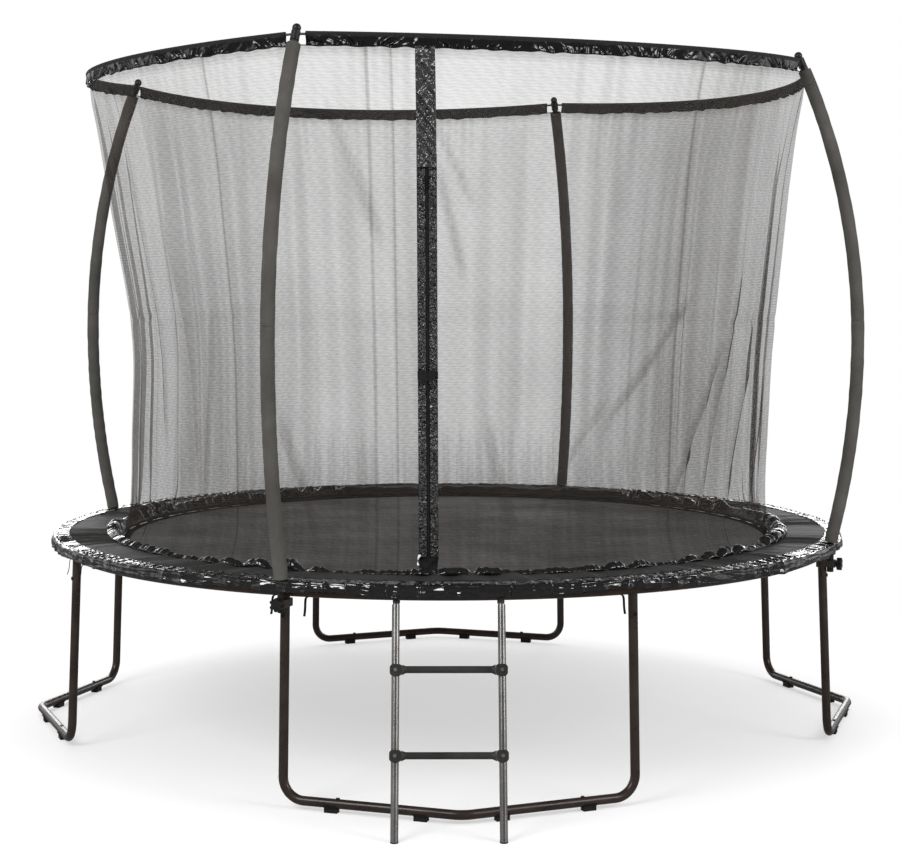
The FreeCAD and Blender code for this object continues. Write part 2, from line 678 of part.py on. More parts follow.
def net_section(start, sweep, height, radius, fold):
    """Closed outline of one panel's cut at a height: wavy outside, wavy inside."""
    halves = 2 * FOLDS_PER_PANEL
    step = sweep / halves
    middle = span_of(start + sweep / 2)
    edges = []
    sides = []
    for half_sheet in (NET_SHEET / 2, -NET_SHEET / 2):
        spots = [start + step * k for k in range(halves + 1)]
        line = []
        for k in range(halves):
            crest = radius + (fold if k % 2 == 0 else -fold) * 0.5 + half_sheet
            ends = [net_point(angle, radius + half_sheet, height, middle)
                    for angle in (spots[k], spots[k + 1])]
            top = net_point(spots[k] + step / 2, crest, height, middle)
            line.append(Part.Arc(ends[0], top, ends[1]).toShape())
        sides.append(line)
    edges.extend(sides[0])
    last = spots[-1]
    edges.append(Part.makeLine(net_point(last, radius + NET_SHEET / 2, height, middle),
                               net_point(last, radius - NET_SHEET / 2, height, middle)))
    edges.extend(reversed(sides[1]))
    edges.append(Part.makeLine(net_point(start, radius - NET_SHEET / 2, height, middle),
                               net_point(start, radius + NET_SHEET / 2, height, middle)))
    return Part.Wire(Part.__sortEdges__(edges))


panels = []
for count, first, last in zip(NET_PANELS, net_bounds, net_bounds[1:]):
    sweep = (last - first) / count
    for number in range(count):
        start = first + sweep * number
        sections = [net_section(start, sweep, height, radius, fold)
                    for height, radius, fold in NET_SECTIONS]
        sections.append(net_section(start, sweep, None, 1391.0, 2.0))
        for low, high in NET_TIERS:
            panels.append(Part.makeLoft(sections[low:high + 1], True, True))
group("safety_net", panels)

# Elastic cord laced round the net's foot, on the outside.
cord_ring = Part.makeTorus(1296.5, 2.5, Vector(0, 0, 744.5))
group("net_cord", [cord_ring])

# Zip entrance: two webbing tapes and a row of teeth that climb the net's wall and flare to
# the band, a cover flap at the top, and a side-release buckle at mid height.
zip_spin = Rotation(Vector(0, 0, 1), ZIP_ANGLE)
wall_way = (ZIP_WALL_TOP - ZIP_FOOT).normalize()
wall_out = Vector(wall_way.z, 0, -wall_way.x)


def zip_strip(low, high, offset, depth):
    """Strip that follows the net's wall, from one side offset to the other."""
    def shifted(point, amount):
        return point + wall_out * amount
    near = [shifted(point, offset) for point in (ZIP_FOOT, ZIP_WALL_TOP, ZIP_FLARE, ZIP_HEAD)]
    far = [shifted(point, offset + depth) for point in (ZIP_FOOT, ZIP_WALL_TOP, ZIP_FLARE, ZIP_HEAD)]
    wire = Part.Wire([
        Part.makeLine(near[0], near[1]),
        Part.Arc(near[1], near[2], near[3]).toShape(),
        Part.makeLine(near[3], far[3]),
        Part.Arc(far[3], far[2], far[1]).toShape(),
        Part.makeLine(far[1], far[0]),
        Part.makeLine(far[0], near[0]),
    ])
    strip = Part.Face(wire).extrude(Vector(0, high - low, 0))
    strip.translate(Vector(0, low, 0))
    strip.rotate(Vector(), Vector(0, 0, 1), ZIP_ANGLE)
    return strip


TAPE_INNER = 4.0
TAPE_OUTER = 33.0
group("zip_tapes", [zip_strip(-TAPE_OUTER, -TAPE_INNER, -1.0, 2.0),
                    zip_strip(-3.7, 3.7, -1.6, 3.2),
                    zip_strip(TAPE_INNER, TAPE_OUTER, -1.0, 2.0)])


def zip_place(height, offset, across=0.0):
    """Frame on the zip line: Z up the zip, X outward, at a height on the straight wall."""
    climb = (height - ZIP_FOOT.z) / wall_way.z
    spot = ZIP_FOOT + wall_way * climb + wall_out * offset + Vector(0, across, 0)
    return axes_place(zip_spin.multVec(spot), zip_spin.multVec(wall_out),
                      zip_spin.multVec(wall_way))


flap_foot = ZIP_WALL_TOP.z
flap_lines = []
for amount in (9.0, 11.0):
    flap_lines.append([point + wall_out * amount for point in (ZIP_WALL_TOP, ZIP_FLARE)]
                      + [Vector(outer_line + amount - 8.0, 0, 2492)])
flap_wire = Part.Wire([
    Part.Arc(*flap_lines[0]).toShape(),
    Part.makeLine(flap_lines[0][2], flap_lines[1][2]),
    Part.Arc(*reversed(flap_lines[1])).toShape(),
    Part.makeLine(flap_lines[1][0], flap_lines[0][0]),
])
flap = Part.Face(flap_wire).extrude(Vector(0, 66, 0))
flap.translate(Vector(0, -33, 0))
flap.rotate(Vector(), Vector(0, 0, 1), ZIP_ANGLE)
group("zip_flap", [flap])

SLIDER_HEIGHT = 2080.0
slider = Part.makeBox(3.0, 13, 22, Vector(2.0, -6.5, -11)).fuse(
    Part.makeBox(1.6, 6, 34, Vector(5.0, -3, -38))).removeSplitter()
slider_node = doc.addObject("Part::Feature", "zip_slider")
slider_node.Shape = slider
slider_node.Placement = zip_place(SLIDER_HEIGHT, 0.0)
keep(slider_node, "zip_slider")

BUCKLE_HEIGHT = 1430.0
BUCKLE_STAND = 7.4
socket = Part.makeBox(11, 34, 34, Vector(1.6, -33, -17))
socket = socket.makeFillet(3.0, [edge for edge in socket.Edges
                                 if edge.BoundBox.XLength > 10 and edge.BoundBox.YLength < 1])
socket = socket.cut(Part.makeBox(6.6, 27, 25, Vector(3.8, -25, -12.5)))
socket_node = doc.addObject("Part::Feature", "buckle_socket")
socket_node.Shape = socket
socket_node.Placement = zip_place(BUCKLE_HEIGHT, BUCKLE_STAND)
keep(socket_node, "buckle_socket")
tongue = Part.makeBox(9, 24, 32, Vector(2.6, 2.0, -16)).fuse([
    Part.makeBox(5.4, 24, 5, Vector(4.4, -20, -11.8)),
    Part.makeBox(5.4, 24, 5, Vector(4.4, -20, 6.8)),
    Part.makeBox(5.4, 20, 4, Vector(4.4, -16, -2)),
]).removeSplitter()
tongue_node = doc.addObject("Part::Feature", "buckle_tongue")
tongue_node.Shape = tongue
tongue_node.Placement = zip_place(BUCKLE_HEIGHT, BUCKLE_STAND)
keep(tongue_node, "buckle_tongue")

# Ladder: two tubes with two rungs bolted on their front, hooked over the frame tube by flat
# steel straps with rubber tips, so that it swings about the frame tube.
ladder_axis = math.sqrt(size["frame_radius"] ** 2 - size["ladder_half_width"] ** 2)
lean = math.radians(size["ladder_lean"])
HOOK_GAP = 1.6
HOOK_SHEET = 2.5
FOOT_SPARE = 12.0
hook_inner = size["frame_tube"] + HOOK_GAP
hook_outer = hook_inner + HOOK_SHEET
rail_top_radius = ladder_axis + hook_outer / math.cos(lean) + size["ladder_tube"] / math.cos(lean)
rail_top_radius -= (size["frame_height"] - size["ladder_top"]) * -math.tan(lean)
down_way = Vector(math.sin(lean), 0, -math.cos(lean))
rail_length = size["ladder_top"] / math.cos(lean)
ladder_spin = Placement(Vector(), Rotation(Vector(0, 0, 1), LADDER_ANGLE))
rail_top = Vector(rail_top_radius, 0, size["ladder_top"])
hooks = []
tips = []
rung_bolts = []
for label, side in (("left", -1), ("right", 1)):
    across = Vector(0, side * size["ladder_half_width"], 0)
    place = ladder_spin.multiply(along(rail_top + across, down_way))
    skin = add("Part::Cylinder", f"ladder_skin_{label}", {"Radius": "sizes.ladder_tube"}, place)
    bore = add("Part::Cylinder", f"ladder_bore_{label}", {"Radius": "sizes.ladder_bore"}, place)
    skin.Height = rail_length + FOOT_SPARE
    bore.Height = rail_length + FOOT_SPARE
    ground = add("Part::Box", f"ladder_ground_{label}", {}, ladder_spin.multiply(
        Placement(Vector(1500, -300, -200), Rotation())))
    ground.Length = 600
    ground.Width = 600
    ground.Height = 204.0
    tools = fuse(f"ladder_tools_{label}", [bore, ground])
    keep(cut(f"ladder_rail_{label}", skin, tools), f"ladder_rail_{label}")

    # flat hook: behind the rail, up past the frame tube, over it and down its inner side
    centre = Vector(ladder_axis, 0, size["frame_height"])
    out_way = Vector(math.cos(lean), 0, math.sin(lean))
    over_way = Vector(0, 0, 1)
    back_way = Vector(-1, 0, 0)
    mid_way = (out_way + over_way).normalize()
    tail = Vector(math.sin(lean), 0, -math.cos(lean)) * 62
    tip_drop = Vector(0, 0, -16)

    def hook_side(radius):
        return [centre + way * radius for way in (out_way, mid_way, over_way, back_way)]

    inner = hook_side(hook_inner)
    outer = hook_side(hook_outer)
    back_mid = (over_way + back_way).normalize()
    hook_wire = Part.Wire([
        Part.makeLine(inner[0] + tail, inner[0]),
        Part.Arc(inner[0], inner[1], inner[2]).toShape(),
        Part.Arc(inner[2], centre + back_mid * hook_inner, inner[3]).toShape(),
        Part.makeLine(inner[3], inner[3] + tip_drop),
        Part.makeLine(inner[3] + tip_drop, outer[3] + tip_drop),
        Part.makeLine(outer[3] + tip_drop, outer[3]),
        Part.Arc(outer[3], centre + back_mid * hook_outer, outer[2]).toShape(),
        Part.Arc(outer[2], outer[1], outer[0]).toShape(),
        Part.makeLine(outer[0], outer[0] + tail),
        Part.makeLine(outer[0] + tail, inner[0] + tail),
    ])
    hook = Part.Face(hook_wire).extrude(Vector(0, 18, 0))
    hook.translate(across - Vector(0, 9, 0))
    hook.Placement = ladder_spin.multiply(hook.Placement)
    hooks.append(hook)
    tip = Part.makeBox(9, 24, 20, Vector(ladder_axis - hook_outer - 3, -12,
                                         size["frame_height"] - 34))
    tip = tip.makeFillet(2.5, tip.Edges)
    tip.translate(across)
    slot = Part.Face(hook_wire).extrude(Vector(0, 18.2, 0))
    slot.translate(across - Vector(0, 9.1, 0))
    tip = tip.cut(slot)
    tip.Placement = ladder_spin.multiply(tip.Placement)
    tips.append(tip)
    # rubber plug in the rail's foot, flat on the ground
    plug_spot = rail_top + across + down_way * (rail_length - 38)
    shoe = Part.makeCylinder(size["ladder_bore"] - 0.3, 60, plug_spot, down_way)
    sole = Part.makeCylinder(size["ladder_tube"] + 0.5, 60, plug_spot, down_way)
    sole = sole.common(Part.makeBox(600, 600, 3.9, Vector(1500, -300, 0)))
    shoe = shoe.cut(Part.makeBox(600, 600, 203.8, Vector(1500, -300, -200))).fuse(sole)
    shoe = shoe.removeSplitter()
    shoe.Placement = ladder_spin.multiply(shoe.Placement)
    tips.append(shoe)

group("ladder_hooks", hooks)
group("ladder_tips", tips)

front_way = Vector(math.cos(lean), 0, math.sin(lean))
RUNG_GAP = 0.3
FLAT_DEPTH = 4.0
rungs = []
for rung_height in (size["ladder_upper_rung"], size["ladder_lower_rung"]):
    reach = (size["ladder_top"] - rung_height) / math.cos(lean)
    middle = rail_top + down_way * reach
    face = middle + front_way * (size["ladder_tube"] + RUNG_GAP)
    place = axes_place(face, Vector(0, 1, 0), front_way)
    half = size["ladder_half_width"]
    tube_half = half - 34
    tube = Part.makeCylinder(size["ladder_tube"] * 0.92, 2 * tube_half,
                             Vector(-tube_half, 0, size["ladder_tube"] * 0.5), Vector(1, 0, 0))
    ends = []
    for side in (-1, 1):
        # flattened end: from the round tube to a flat, flared paddle on the rail's front
        round_wire = Part.Wire(Part.makeCircle(
            size["ladder_tube"] * 0.92, Vector(side * tube_half, 0, size["ladder_tube"] * 0.5),
            Vector(side, 0, 0)))
        paddle = Part.makeBox(40, 38, FLAT_DEPTH, Vector(-20 + side * (half - 2), -19, 0))
        paddle = paddle.makeFillet(12, [edge for edge in paddle.Edges
                                        if abs(edge.tangentAt(edge.FirstParameter).z) > 0.9])
        paddle_spot = side * (half - 20)
        flat_wire = Part.makePolygon([
            Vector(paddle_spot, -17, 0), Vector(paddle_spot, 17, 0),
            Vector(paddle_spot, 17, FLAT_DEPTH), Vector(paddle_spot, -17, FLAT_DEPTH),
            Vector(paddle_spot, -17, 0)])
        neck = Part.makeLoft([round_wire, flat_wire], True, True)
        bolt_spot = Vector(side * half, 0, -0.01)
        paddle = paddle.cut(Part.makeCylinder(HOLE_RADIUS, 20, bolt_spot - Vector(0, 0, 5)))
        ends.extend([neck, paddle])
        screw = Part.makeCylinder(BOLT_RADIUS, 4.2, Vector(side * half, 0, 0)).fuse(
            Part.makeCylinder(6.0, 3.2, Vector(side * half, 0, FLAT_DEPTH + 0.2))).removeSplitter()
        screw.Placement = ladder_spin.multiply(place)
        rung_bolts.append(screw)
    rung = tube.fuse(ends).removeSplitter()
    low_side = Part.makeBox(600, 200, 40, Vector(-300, -100, -40))
    rung = rung.cut(low_side)
    rung.Placement = ladder_spin.multiply(place)
    rungs.append(rung)
group("ladder_rungs", rungs)
group("ladder_bolts", rung_bolts)

doc.recompute()
for thing in doc.Objects:
    if "Invalid" in thing.State or "Error" in thing.State:
        raise RuntimeError(f"{thing.Label} did not build: {thing.State}")
os.makedirs("parts", exist_ok=True)
for label, thing in nodes:
    shape = thing.Shape
    if shape.isNull() or not shape.isValid() or not shape.Solids:
        raise RuntimeError(f"{label} has no valid shape")
    loose = Part.makeCompound(shape.Solids)
    loose.exportStep(f"parts/{label}.step")
    print(f"{label}: {len(shape.Solids)} solids, {shape.Volume / 1000:.1f} cm3")
print(f"{len(nodes)} nodes")
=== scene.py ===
"""Looks of the round trampoline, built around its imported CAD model. Metres, +Z up."""
import functools
import math

import bmesh
import bpy
import numpy as np
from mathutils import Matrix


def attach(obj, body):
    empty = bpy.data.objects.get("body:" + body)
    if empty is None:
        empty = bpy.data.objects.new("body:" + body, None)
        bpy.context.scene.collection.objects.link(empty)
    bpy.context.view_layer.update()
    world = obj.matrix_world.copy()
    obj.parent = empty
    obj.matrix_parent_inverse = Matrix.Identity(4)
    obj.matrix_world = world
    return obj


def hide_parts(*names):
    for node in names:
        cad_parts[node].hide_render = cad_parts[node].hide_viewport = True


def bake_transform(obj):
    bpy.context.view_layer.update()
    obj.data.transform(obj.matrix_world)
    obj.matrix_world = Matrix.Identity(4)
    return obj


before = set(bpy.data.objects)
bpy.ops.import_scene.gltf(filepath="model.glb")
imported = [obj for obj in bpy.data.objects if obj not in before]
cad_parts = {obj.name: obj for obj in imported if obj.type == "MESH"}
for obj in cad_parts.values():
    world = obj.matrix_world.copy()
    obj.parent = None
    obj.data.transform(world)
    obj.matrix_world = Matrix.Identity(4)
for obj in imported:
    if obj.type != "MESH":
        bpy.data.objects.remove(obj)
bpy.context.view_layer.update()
TURN = 2 * math.pi


# Frame ring, its joint sleeves and the four W legs: bent steel tube, 38 mm for the ring and
# 32 mm for the legs, powder coated in a satin brown-black that shows soft long highlights.
# The tubes keep their CAD shapes.
def linear(code):
    """An sRGB hex code as linear red, green, blue and 1."""
    parts = [int(code[k:k + 2], 16) / 255 for k in (0, 2, 4)]
    return [c / 12.92 if c <= 0.04045 else ((c + 0.055) / 1.055) ** 2.4 for c in parts] + [1.0]


def fill(tree, node, *numbered, **named):
    """Sets a node's properties, and its sockets in their order or by name with _ for a space.
    A value may be a source to link: a node, for its first output, or (node, output's name)."""
    for key, value in [*enumerate(numbered), *named.items()]:
        source, output = value if isinstance(value, tuple) and len(value) == 2 else (value, 0)
        socket = key.replace("_", " ") if isinstance(key, str) else key
        if isinstance(source, bpy.types.Node):
            tree.links.new(source.outputs[output], node.inputs[socket])
        elif isinstance(key, str) and hasattr(node, key):
            setattr(node, key, value)
        elif value is not None:
            node.inputs[socket].default_value = value


def add_node(tree, kind, *numbered, **named):
    """Adds a shader node and fills it."""
    node = tree.nodes.new("ShaderNode" + kind)
    fill(tree, node, *numbered, **named)
    return node


def material(name, **constants):
    """A material with one Principled shader, its constants set on the shader's own sockets;
    with it come add_node for its tree and fill for its shader."""
    made = bpy.data.materials.new(name)
    made.use_nodes = True
    tree = made.node_tree
    shader = tree.nodes["Principled BSDF"]
    fill(tree, shader, **constants)
    return made, functools.partial(add_node, tree), functools.partial(fill, tree, shader)


def ramp(put, source, stops):
    """A colour ramp over a 0 to 1 value; stops are (place, hex code)."""
    node = put("ValToRGB", Fac=source)
    marks = node.color_ramp.elements
    while len(marks) < len(stops):
        marks.new(0.5)
    for mark, (place, code) in zip(marks, stops):
        mark.position = place
        mark.color = linear(code)
    return node


def coated_steel(name, dark, light, roughness, grain=900.0, metallic=0.0, shine=0.4):
    """Powder coat: a faint cloudy tone, fine orange peel and uneven satin gloss."""
    made, put, give = material(name, Metallic=metallic, Specular_IOR_Level=shine)
    at_object = (put("TexCoord"), "Object")
    cloud = put("TexNoise", Scale=9.0, Detail=4.0, Vector=at_object)
    gloss = put("MapRange", To_Min=roughness - 0.05, To_Max=roughness + 0.09, Value=cloud)
    peel = put("TexNoise", Scale=grain, Detail=2.0, Vector=at_object)
    bump = put("Bump", Strength=0.12, Distance=0.0006, Height=peel)
    give(Base_Color=ramp(put, cloud, [(0.35, dark), (0.68, light)]), Roughness=gloss, Normal=bump)
    return made


def dress(made, *names):
    """Gives CAD nodes, which keep their shapes, a material."""
    for name in names:
        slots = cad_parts[name].data.materials
        slots.clear()
        slots.append(made)


# satin brown-black powder coat on the ring and the legs; the legs' copy is drawn a little lighter,
# which is painted light
frame_paint = coated_steel("frame_powder_coat", "1f1712", "2f2119", 0.3, shine=0.35)
leg_paint = coated_steel("leg_powder_coat_painted_light", "261e1a", "322823", 0.27, shine=0.35)
dress(frame_paint, *[f"frame_rail_{k}" for k in range(1, 9)])
dress(leg_paint, *[f"leg_upright_{k}" for k in range(1, 9)],
      *[f"leg_base_{side}" for side in ("front", "right", "back", "left")], "pole_brackets")
# zinc-plated steel inside the joints and on the screws
zinc = coated_steel("zinc_plate", "8d9094", "b4b6b8", 0.34, 400.0, 1.0)
dress(zinc, "tube_spigots", "ladder_bolts")
# the V rings' zinc wire, drawn dark and dull: painted shade where they lie under the pad's inner
# edge
ring_wire_shaded = coated_steel("ring_wire_painted_shade", "3c3d3e", "55575a", 0.6, 400.0, 0.8)
dress(ring_wire_shaded, "mat_rings")
# blackened steel screw heads in the legs
black_screw = coated_steel("blackened_screw", "1b1a1a", "2c2b2b", 0.38, 500.0, 0.6)
dress(black_screw, "leg_bolts")
# moulded black rubber shoes under the base bars and on the ladder's feet and hooks
rubber = coated_steel("moulded_rubber", "0b0b0b", "151515", 0.68, 1400.0)
dress(rubber, "leg_feet", "ladder_tips")


# Ladder: two 25 mm tubes and two rungs with flattened, flared ends, in a lighter satin gunmetal
# paint. The hooks are flat steel straps in the same paint. All keep their CAD shapes.
ladder_paint = coated_steel("gunmetal_paint", "605f5d", "757371", 0.26, 700.0, 0.75, 0.6)
dress(ladder_paint, "ladder_rail_left", "ladder_rail_right", "ladder_hooks")
# the rungs' paint is a darker, less metallic copy of the rails' paint: painted shade on the rungs
rung_paint = coated_steel("rung_gunmetal_painted_shade", "31302e", "413f3d", 0.3, 700.0, 0.5, 0.6)
dress(rung_paint, "ladder_rungs")


# Enclosure poles: 25 mm steel tube painted black, seen only at the foot and in the sleeve's
# joint, with a moulded cap on each top and a six-lobed star knob on each foot.
pole_paint = coated_steel("pole_paint", "131313", "1f1f1f", 0.35)
dress(pole_paint, *[f"pole_{k}" for k in range(1, 5)])
# black moulded plastic with a fine spark-eroded grain
plastic = coated_steel("moulded_plastic", "0e0e0f", "191919", 0.42, 1600.0)
dress(plastic, "pole_caps", "buckle_socket", "buckle_tongue",
      *[f"star_knob_{k}" for k in range(1, 5)])
# dark pultruded fibreglass rod
rod_resin = coated_steel("fibreglass_rod", "1a1a19", "282826", 0.36, 300.0)
dress(rod_resin, "ring_rods")
# black enamelled zinc alloy
zip_enamel = coated_steel("enamelled_slider", "0d0d0d", "181818", 0.28, 800.0, 0.3)
dress(zip_enamel, "zip_slider")


# Foam sleeves: two closed-cell foam tubes on each pole, 48 mm thick, slit and slid on, their
# cut ends rounded. They meet just above the pole's widest place. Matte mid grey, finely pored.
SLEEVE_RADIUS = 0.024
# the pole's centre line: a kick outwards at the foot, then a lower and an upper bow that meet
# at its widest place
BULGE_RADIUS, BULGE_HEIGHT = 1.627, 1.5
KICK_BEND, KICK_DEGREES, KICK_FOOT = 0.35, 13.11, 0.730
KICK = math.radians(KICK_DEGREES)
LOWER_BOW = 0.77 / math.sin(KICK) - KICK_BEND
UPPER_BOW = 2.556
SLEEVE_FOOT, SLEEVE_MEET, SLEEVE_HEAD, SLEEVE_GAP = 0.768, 2.2, 23.48, 0.004
POLE_TURNS = (-112.5, -22.5, 67.5, 157.5)


def circle(angle):
    """The cosine and sine of angles, side by side."""
    return np.stack([np.cos(angle), np.sin(angle)], -1)


def polar(reach, spin, level):
    """Points at a distance from the upright axis, at an angle in radians, at a height."""
    return np.stack(np.broadcast_arrays(reach * np.cos(spin), reach * np.sin(spin), level), -1)


def turned(points, degrees):
    """Points turned about the trampoline's upright axis."""
    turn = math.radians(degrees)
    x, y, z = points[..., 0], points[..., 1], points[..., 2]
    return np.stack([x * math.cos(turn) - y * math.sin(turn),
                     x * math.sin(turn) + y * math.cos(turn), z + 0 * x], -1)


def carried(path, out, profile):
    """A profile carried along a path: path + N * first + B * second, where N is the outward
    direction made square to the path and B is square to both."""
    way = np.gradient(path, axis=0)
    way /= np.linalg.norm(way, axis=1, keepdims=True)
    side = out - (out * way).sum(1, keepdims=True) * way
    side /= np.linalg.norm(side, axis=1, keepdims=True)
    third = np.cross(way, side)
    profile = np.broadcast_to(profile, (len(path),) + profile.shape[-2:])
    return (path[:, None] + side[:, None] * profile[..., :1]
            + third[:, None] * profile[..., 1:])


def placed(name, data):
    """A new object in the scene."""
    thing = bpy.data.objects.new(name, data)
    bpy.context.scene.collection.objects.link(thing)
    return thing


def meshed(name, points, faces, made):
    """An object with one mesh of points and faces, in one material."""
    mesh = bpy.data.meshes.new(name)
    mesh.from_pydata(points, [], faces)
    mesh.materials.append(made)
    return placed(name, mesh)


def surface(name, points, made, around=False, along=False, flip=False):
    """A mesh over a grid of points, rows by columns. UV is the distance in metres down the
    columns (u) and along the rows (v). around closes the columns, along the rows."""
    rows, columns = points.shape[:2]
    row, column = np.meshgrid(np.arange(rows - (not along)), np.arange(columns - (not around)),
                              indexing="ij")
    corners = [(row, column), (row, column + 1), (row + 1, column + 1), (row + 1, column)]
    if flip:
        corners.reverse()
    faces = np.stack([(a % rows) * columns + b % columns for a, b in corners], -1)
    across = np.linalg.norm(np.roll(points, -1, 1) - points, axis=2).mean(0)
    up = np.linalg.norm(np.roll(points, -1, 0) - points, axis=2).mean(1)
    u = np.concatenate([[0], np.cumsum(across)])
    v = np.concatenate([[0], np.cumsum(up)])
    spots = np.stack([np.stack([u[b], v[a]], -1) for a, b in corners], 2)
    piece = meshed(name, points.reshape(-1, 3).tolist(), faces.reshape(-1, 4).tolist(), made)
    layer = piece.data.uv_layers.new(name="UVMap")
    layer.data.foreach_set("uv", spots.reshape(-1).astype(np.float32))
    piece.data.shade_smooth()
    return piece


def capped(grid):
    """The grid with a row more at each end, where all columns meet in their middle."""
    ends = [np.repeat(grid[row].mean(0)[None], grid.shape[1], 0)[None] for row in (0, -1)]
    return np.concatenate([ends[0], grid, ends[1]])


def merged(piece):
    """Joins points that lie on each other, as at the middle of a disc, and sets the faces
    outwards."""
    shape = bmesh.new()
    shape.from_mesh(piece.data)
    bmesh.ops.remove_doubles(shape, verts=shape.verts, dist=1e-6)
    bmesh.ops.dissolve_degenerate(shape, dist=1e-7, edges=shape.edges)
    bmesh.ops.recalc_face_normals(shape, faces=shape.faces)
    shape.to_mesh(piece.data)
    shape.free()


def closed_foam():
    """Closed-cell polyethylene foam: dull, with pores and pale scuffs; no shine at all."""
    made, put, give = material("closed_cell_foam", Specular_IOR_Level=0.05, Roughness=0.93)
    at_object = (put("TexCoord"), "Object")
    scuff = put("TexNoise", Scale=5.0, Detail=6.0, Roughness=0.65, Vector=at_object)
    pores = put("TexNoise", Scale=420.0, Detail=3.0, Vector=at_object)
    mix = put("Math", pores, 0.35, scuff, operation="MULTIPLY_ADD")
    bump = put("Bump", Strength=0.5, Distance=0.0012, Height=pores)
    give(Base_Color=ramp(put, mix, [(0.45, "3e3c3a"), (0.72, "4c4a47"), (0.95, "5c5956")]),
         Normal=bump)
    return made


def ripples(seed, share, low, high, number=9):
    """Uneven folds: a sum of sines with whole counts between low and high round the piece,
    each with its own seeded phase and strength. share runs from 0 to 1."""
    draw = np.random.default_rng(seed)
    counts = draw.integers(low, high + 1, number)
    phases = draw.uniform(0, TURN, number)
    weights = draw.uniform(0.4, 1.0, number) / math.sqrt(number / 2)
    return sum(w * np.sin(TURN * c * share + p) for w, c, p in zip(weights, counts, phases))


def arc_along(bend, from_heading, to_heading, count, outward=False):
    """Points and outward directions on one bend of the pole. Heading h is how far the pole
    leans out from upright, so the bend's point is its centre + R (cos h, -sin h)."""
    heading = np.radians(np.linspace(from_heading, to_heading, count))
    hand = -1 if outward else 1
    centre = (1.5385 + bend, KICK_FOOT) if outward else (BULGE_RADIUS - bend, BULGE_HEIGHT)
    points = np.stack([centre[0] + hand * bend * np.cos(heading), 0 * heading,
                       centre[1] - hand * bend * np.sin(heading)], -1)
    return points, np.stack([np.cos(heading), 0 * heading, -np.sin(heading)], -1)


def sleeve(arcs, seed):
    """Rows along the joined bends, columns round them. The radius falls to the bore in a small
    quarter round at each cut end, and waves by half a millimetre."""
    path = np.concatenate([arcs[0][0]] + [points[1:] for points, _ in arcs[1:]])
    out = np.concatenate([arcs[0][1]] + [ways[1:] for _, ways in arcs[1:]])
    share = np.linspace(0, 1, len(path))
    radius = SLEEVE_RADIUS + 0.0005 * ripples(seed, share, 3, 17)
    profile = circle(np.linspace(0, TURN, 32, endpoint=False))[None] * radius[:, None, None]
    grid = carried(path, out, profile)
    # the cut ends: a quarter round of 1.2 mm, then the flat face down to the tube
    round_off = np.linspace(0, math.pi / 2, 5)
    reach = 0.0012 * np.concatenate([np.sin(round_off[1:]), [1]]) - 0.0012
    size = np.concatenate([1 - 0.05 * (1 - np.cos(round_off[1:])), [0.545]])
    ends = []
    for row, sign in ((0, -1), (-1, 1)):
        way = np.array([-out[row, 2], 0, out[row, 0]]) * sign
        ends.append(path[row] + (grid[row] - path[row])[None] * size[:, None, None]
                    + way * reach[:, None, None])
    return np.concatenate([ends[0][::-1], grid[1:-1], ends[1]])


foam = closed_foam()
kick_degrees = math.degrees(KICK)
foot_heading = math.degrees(math.asin((SLEEVE_FOOT - KICK_FOOT) / KICK_BEND))
for number, pole_turn in enumerate(POLE_TURNS, start=1):
    # the lower sleeve runs a little way up the upper bow, to where the two sleeves meet
    lower = sleeve([arc_along(KICK_BEND, foot_heading, kick_degrees, 8, True),
                    arc_along(LOWER_BOW, kick_degrees, 0, 110),
                    arc_along(UPPER_BOW, 0, SLEEVE_GAP - SLEEVE_MEET, 12)], number)
    upper = sleeve([arc_along(UPPER_BOW, -SLEEVE_MEET - SLEEVE_GAP, -SLEEVE_HEAD, 150)],
                   number + 20)
    for part, grid in (("lower", lower), ("upper", upper)):
        piece = surface(f"foam_sleeve_{number}_{part}", turned(grid, pole_turn), foam, around=True)
        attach(piece, "root")
        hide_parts(f"pole_foam_{number}")


# Top ring: four fibreglass rods bent from cap to cap, each in a fabric band folded over it and
# stitched at the foot. PE-coated black fabric: its fold is dull, its wall glossy and crinkled,
# and its uncoated back is a flat dark grey. The rods keep their CAD shapes.
RING_RADIUS, RING_HEIGHT, RING_SAG = 1.4, 2.553, 0.030
CHORD = RING_RADIUS * math.cos(math.pi / 4)
TIP = math.asin(RING_SAG / (RING_RADIUS - CHORD))
SPAN_TURNS = (-67.5, 22.5, 112.5, 202.5)
BAND_HALF_SPAN, BAND_PLACES = 43.5, 620


def tipped(points):
    """A level quarter of the ring about +X, tipped about the chord between its two poles."""
    x, z = points[..., 0] - CHORD, points[..., 2] - RING_HEIGHT
    return np.stack([CHORD + x * math.cos(TIP) + z * math.sin(TIP), points[..., 1],
                     RING_HEIGHT - x * math.sin(TIP) + z * math.cos(TIP)], -1)


def rounded(corners, count):
    """A closed outline through corners, evenly spaced and smoothed by a running mean."""
    loop = np.vstack([corners, corners[:1]])
    far = np.concatenate([[0], np.cumsum(np.linalg.norm(np.diff(loop, axis=0), axis=1))])
    place = np.linspace(0, far[-1], count, endpoint=False)
    line = np.stack([np.interp(place, far, loop[:, k]) for k in (0, 1)], -1)
    for _ in range(2):
        line = 0.25 * np.roll(line, 1, 0) + 0.5 * line + 0.25 * np.roll(line, -1, 0)
    return line


def mark(piece, name, values):
    """Stores a number on every vertex for a material to read."""
    layer = piece.data.attributes.new(name, "FLOAT", "POINT")
    layer.data.foreach_set("value", np.asarray(values, np.float32).reshape(-1))


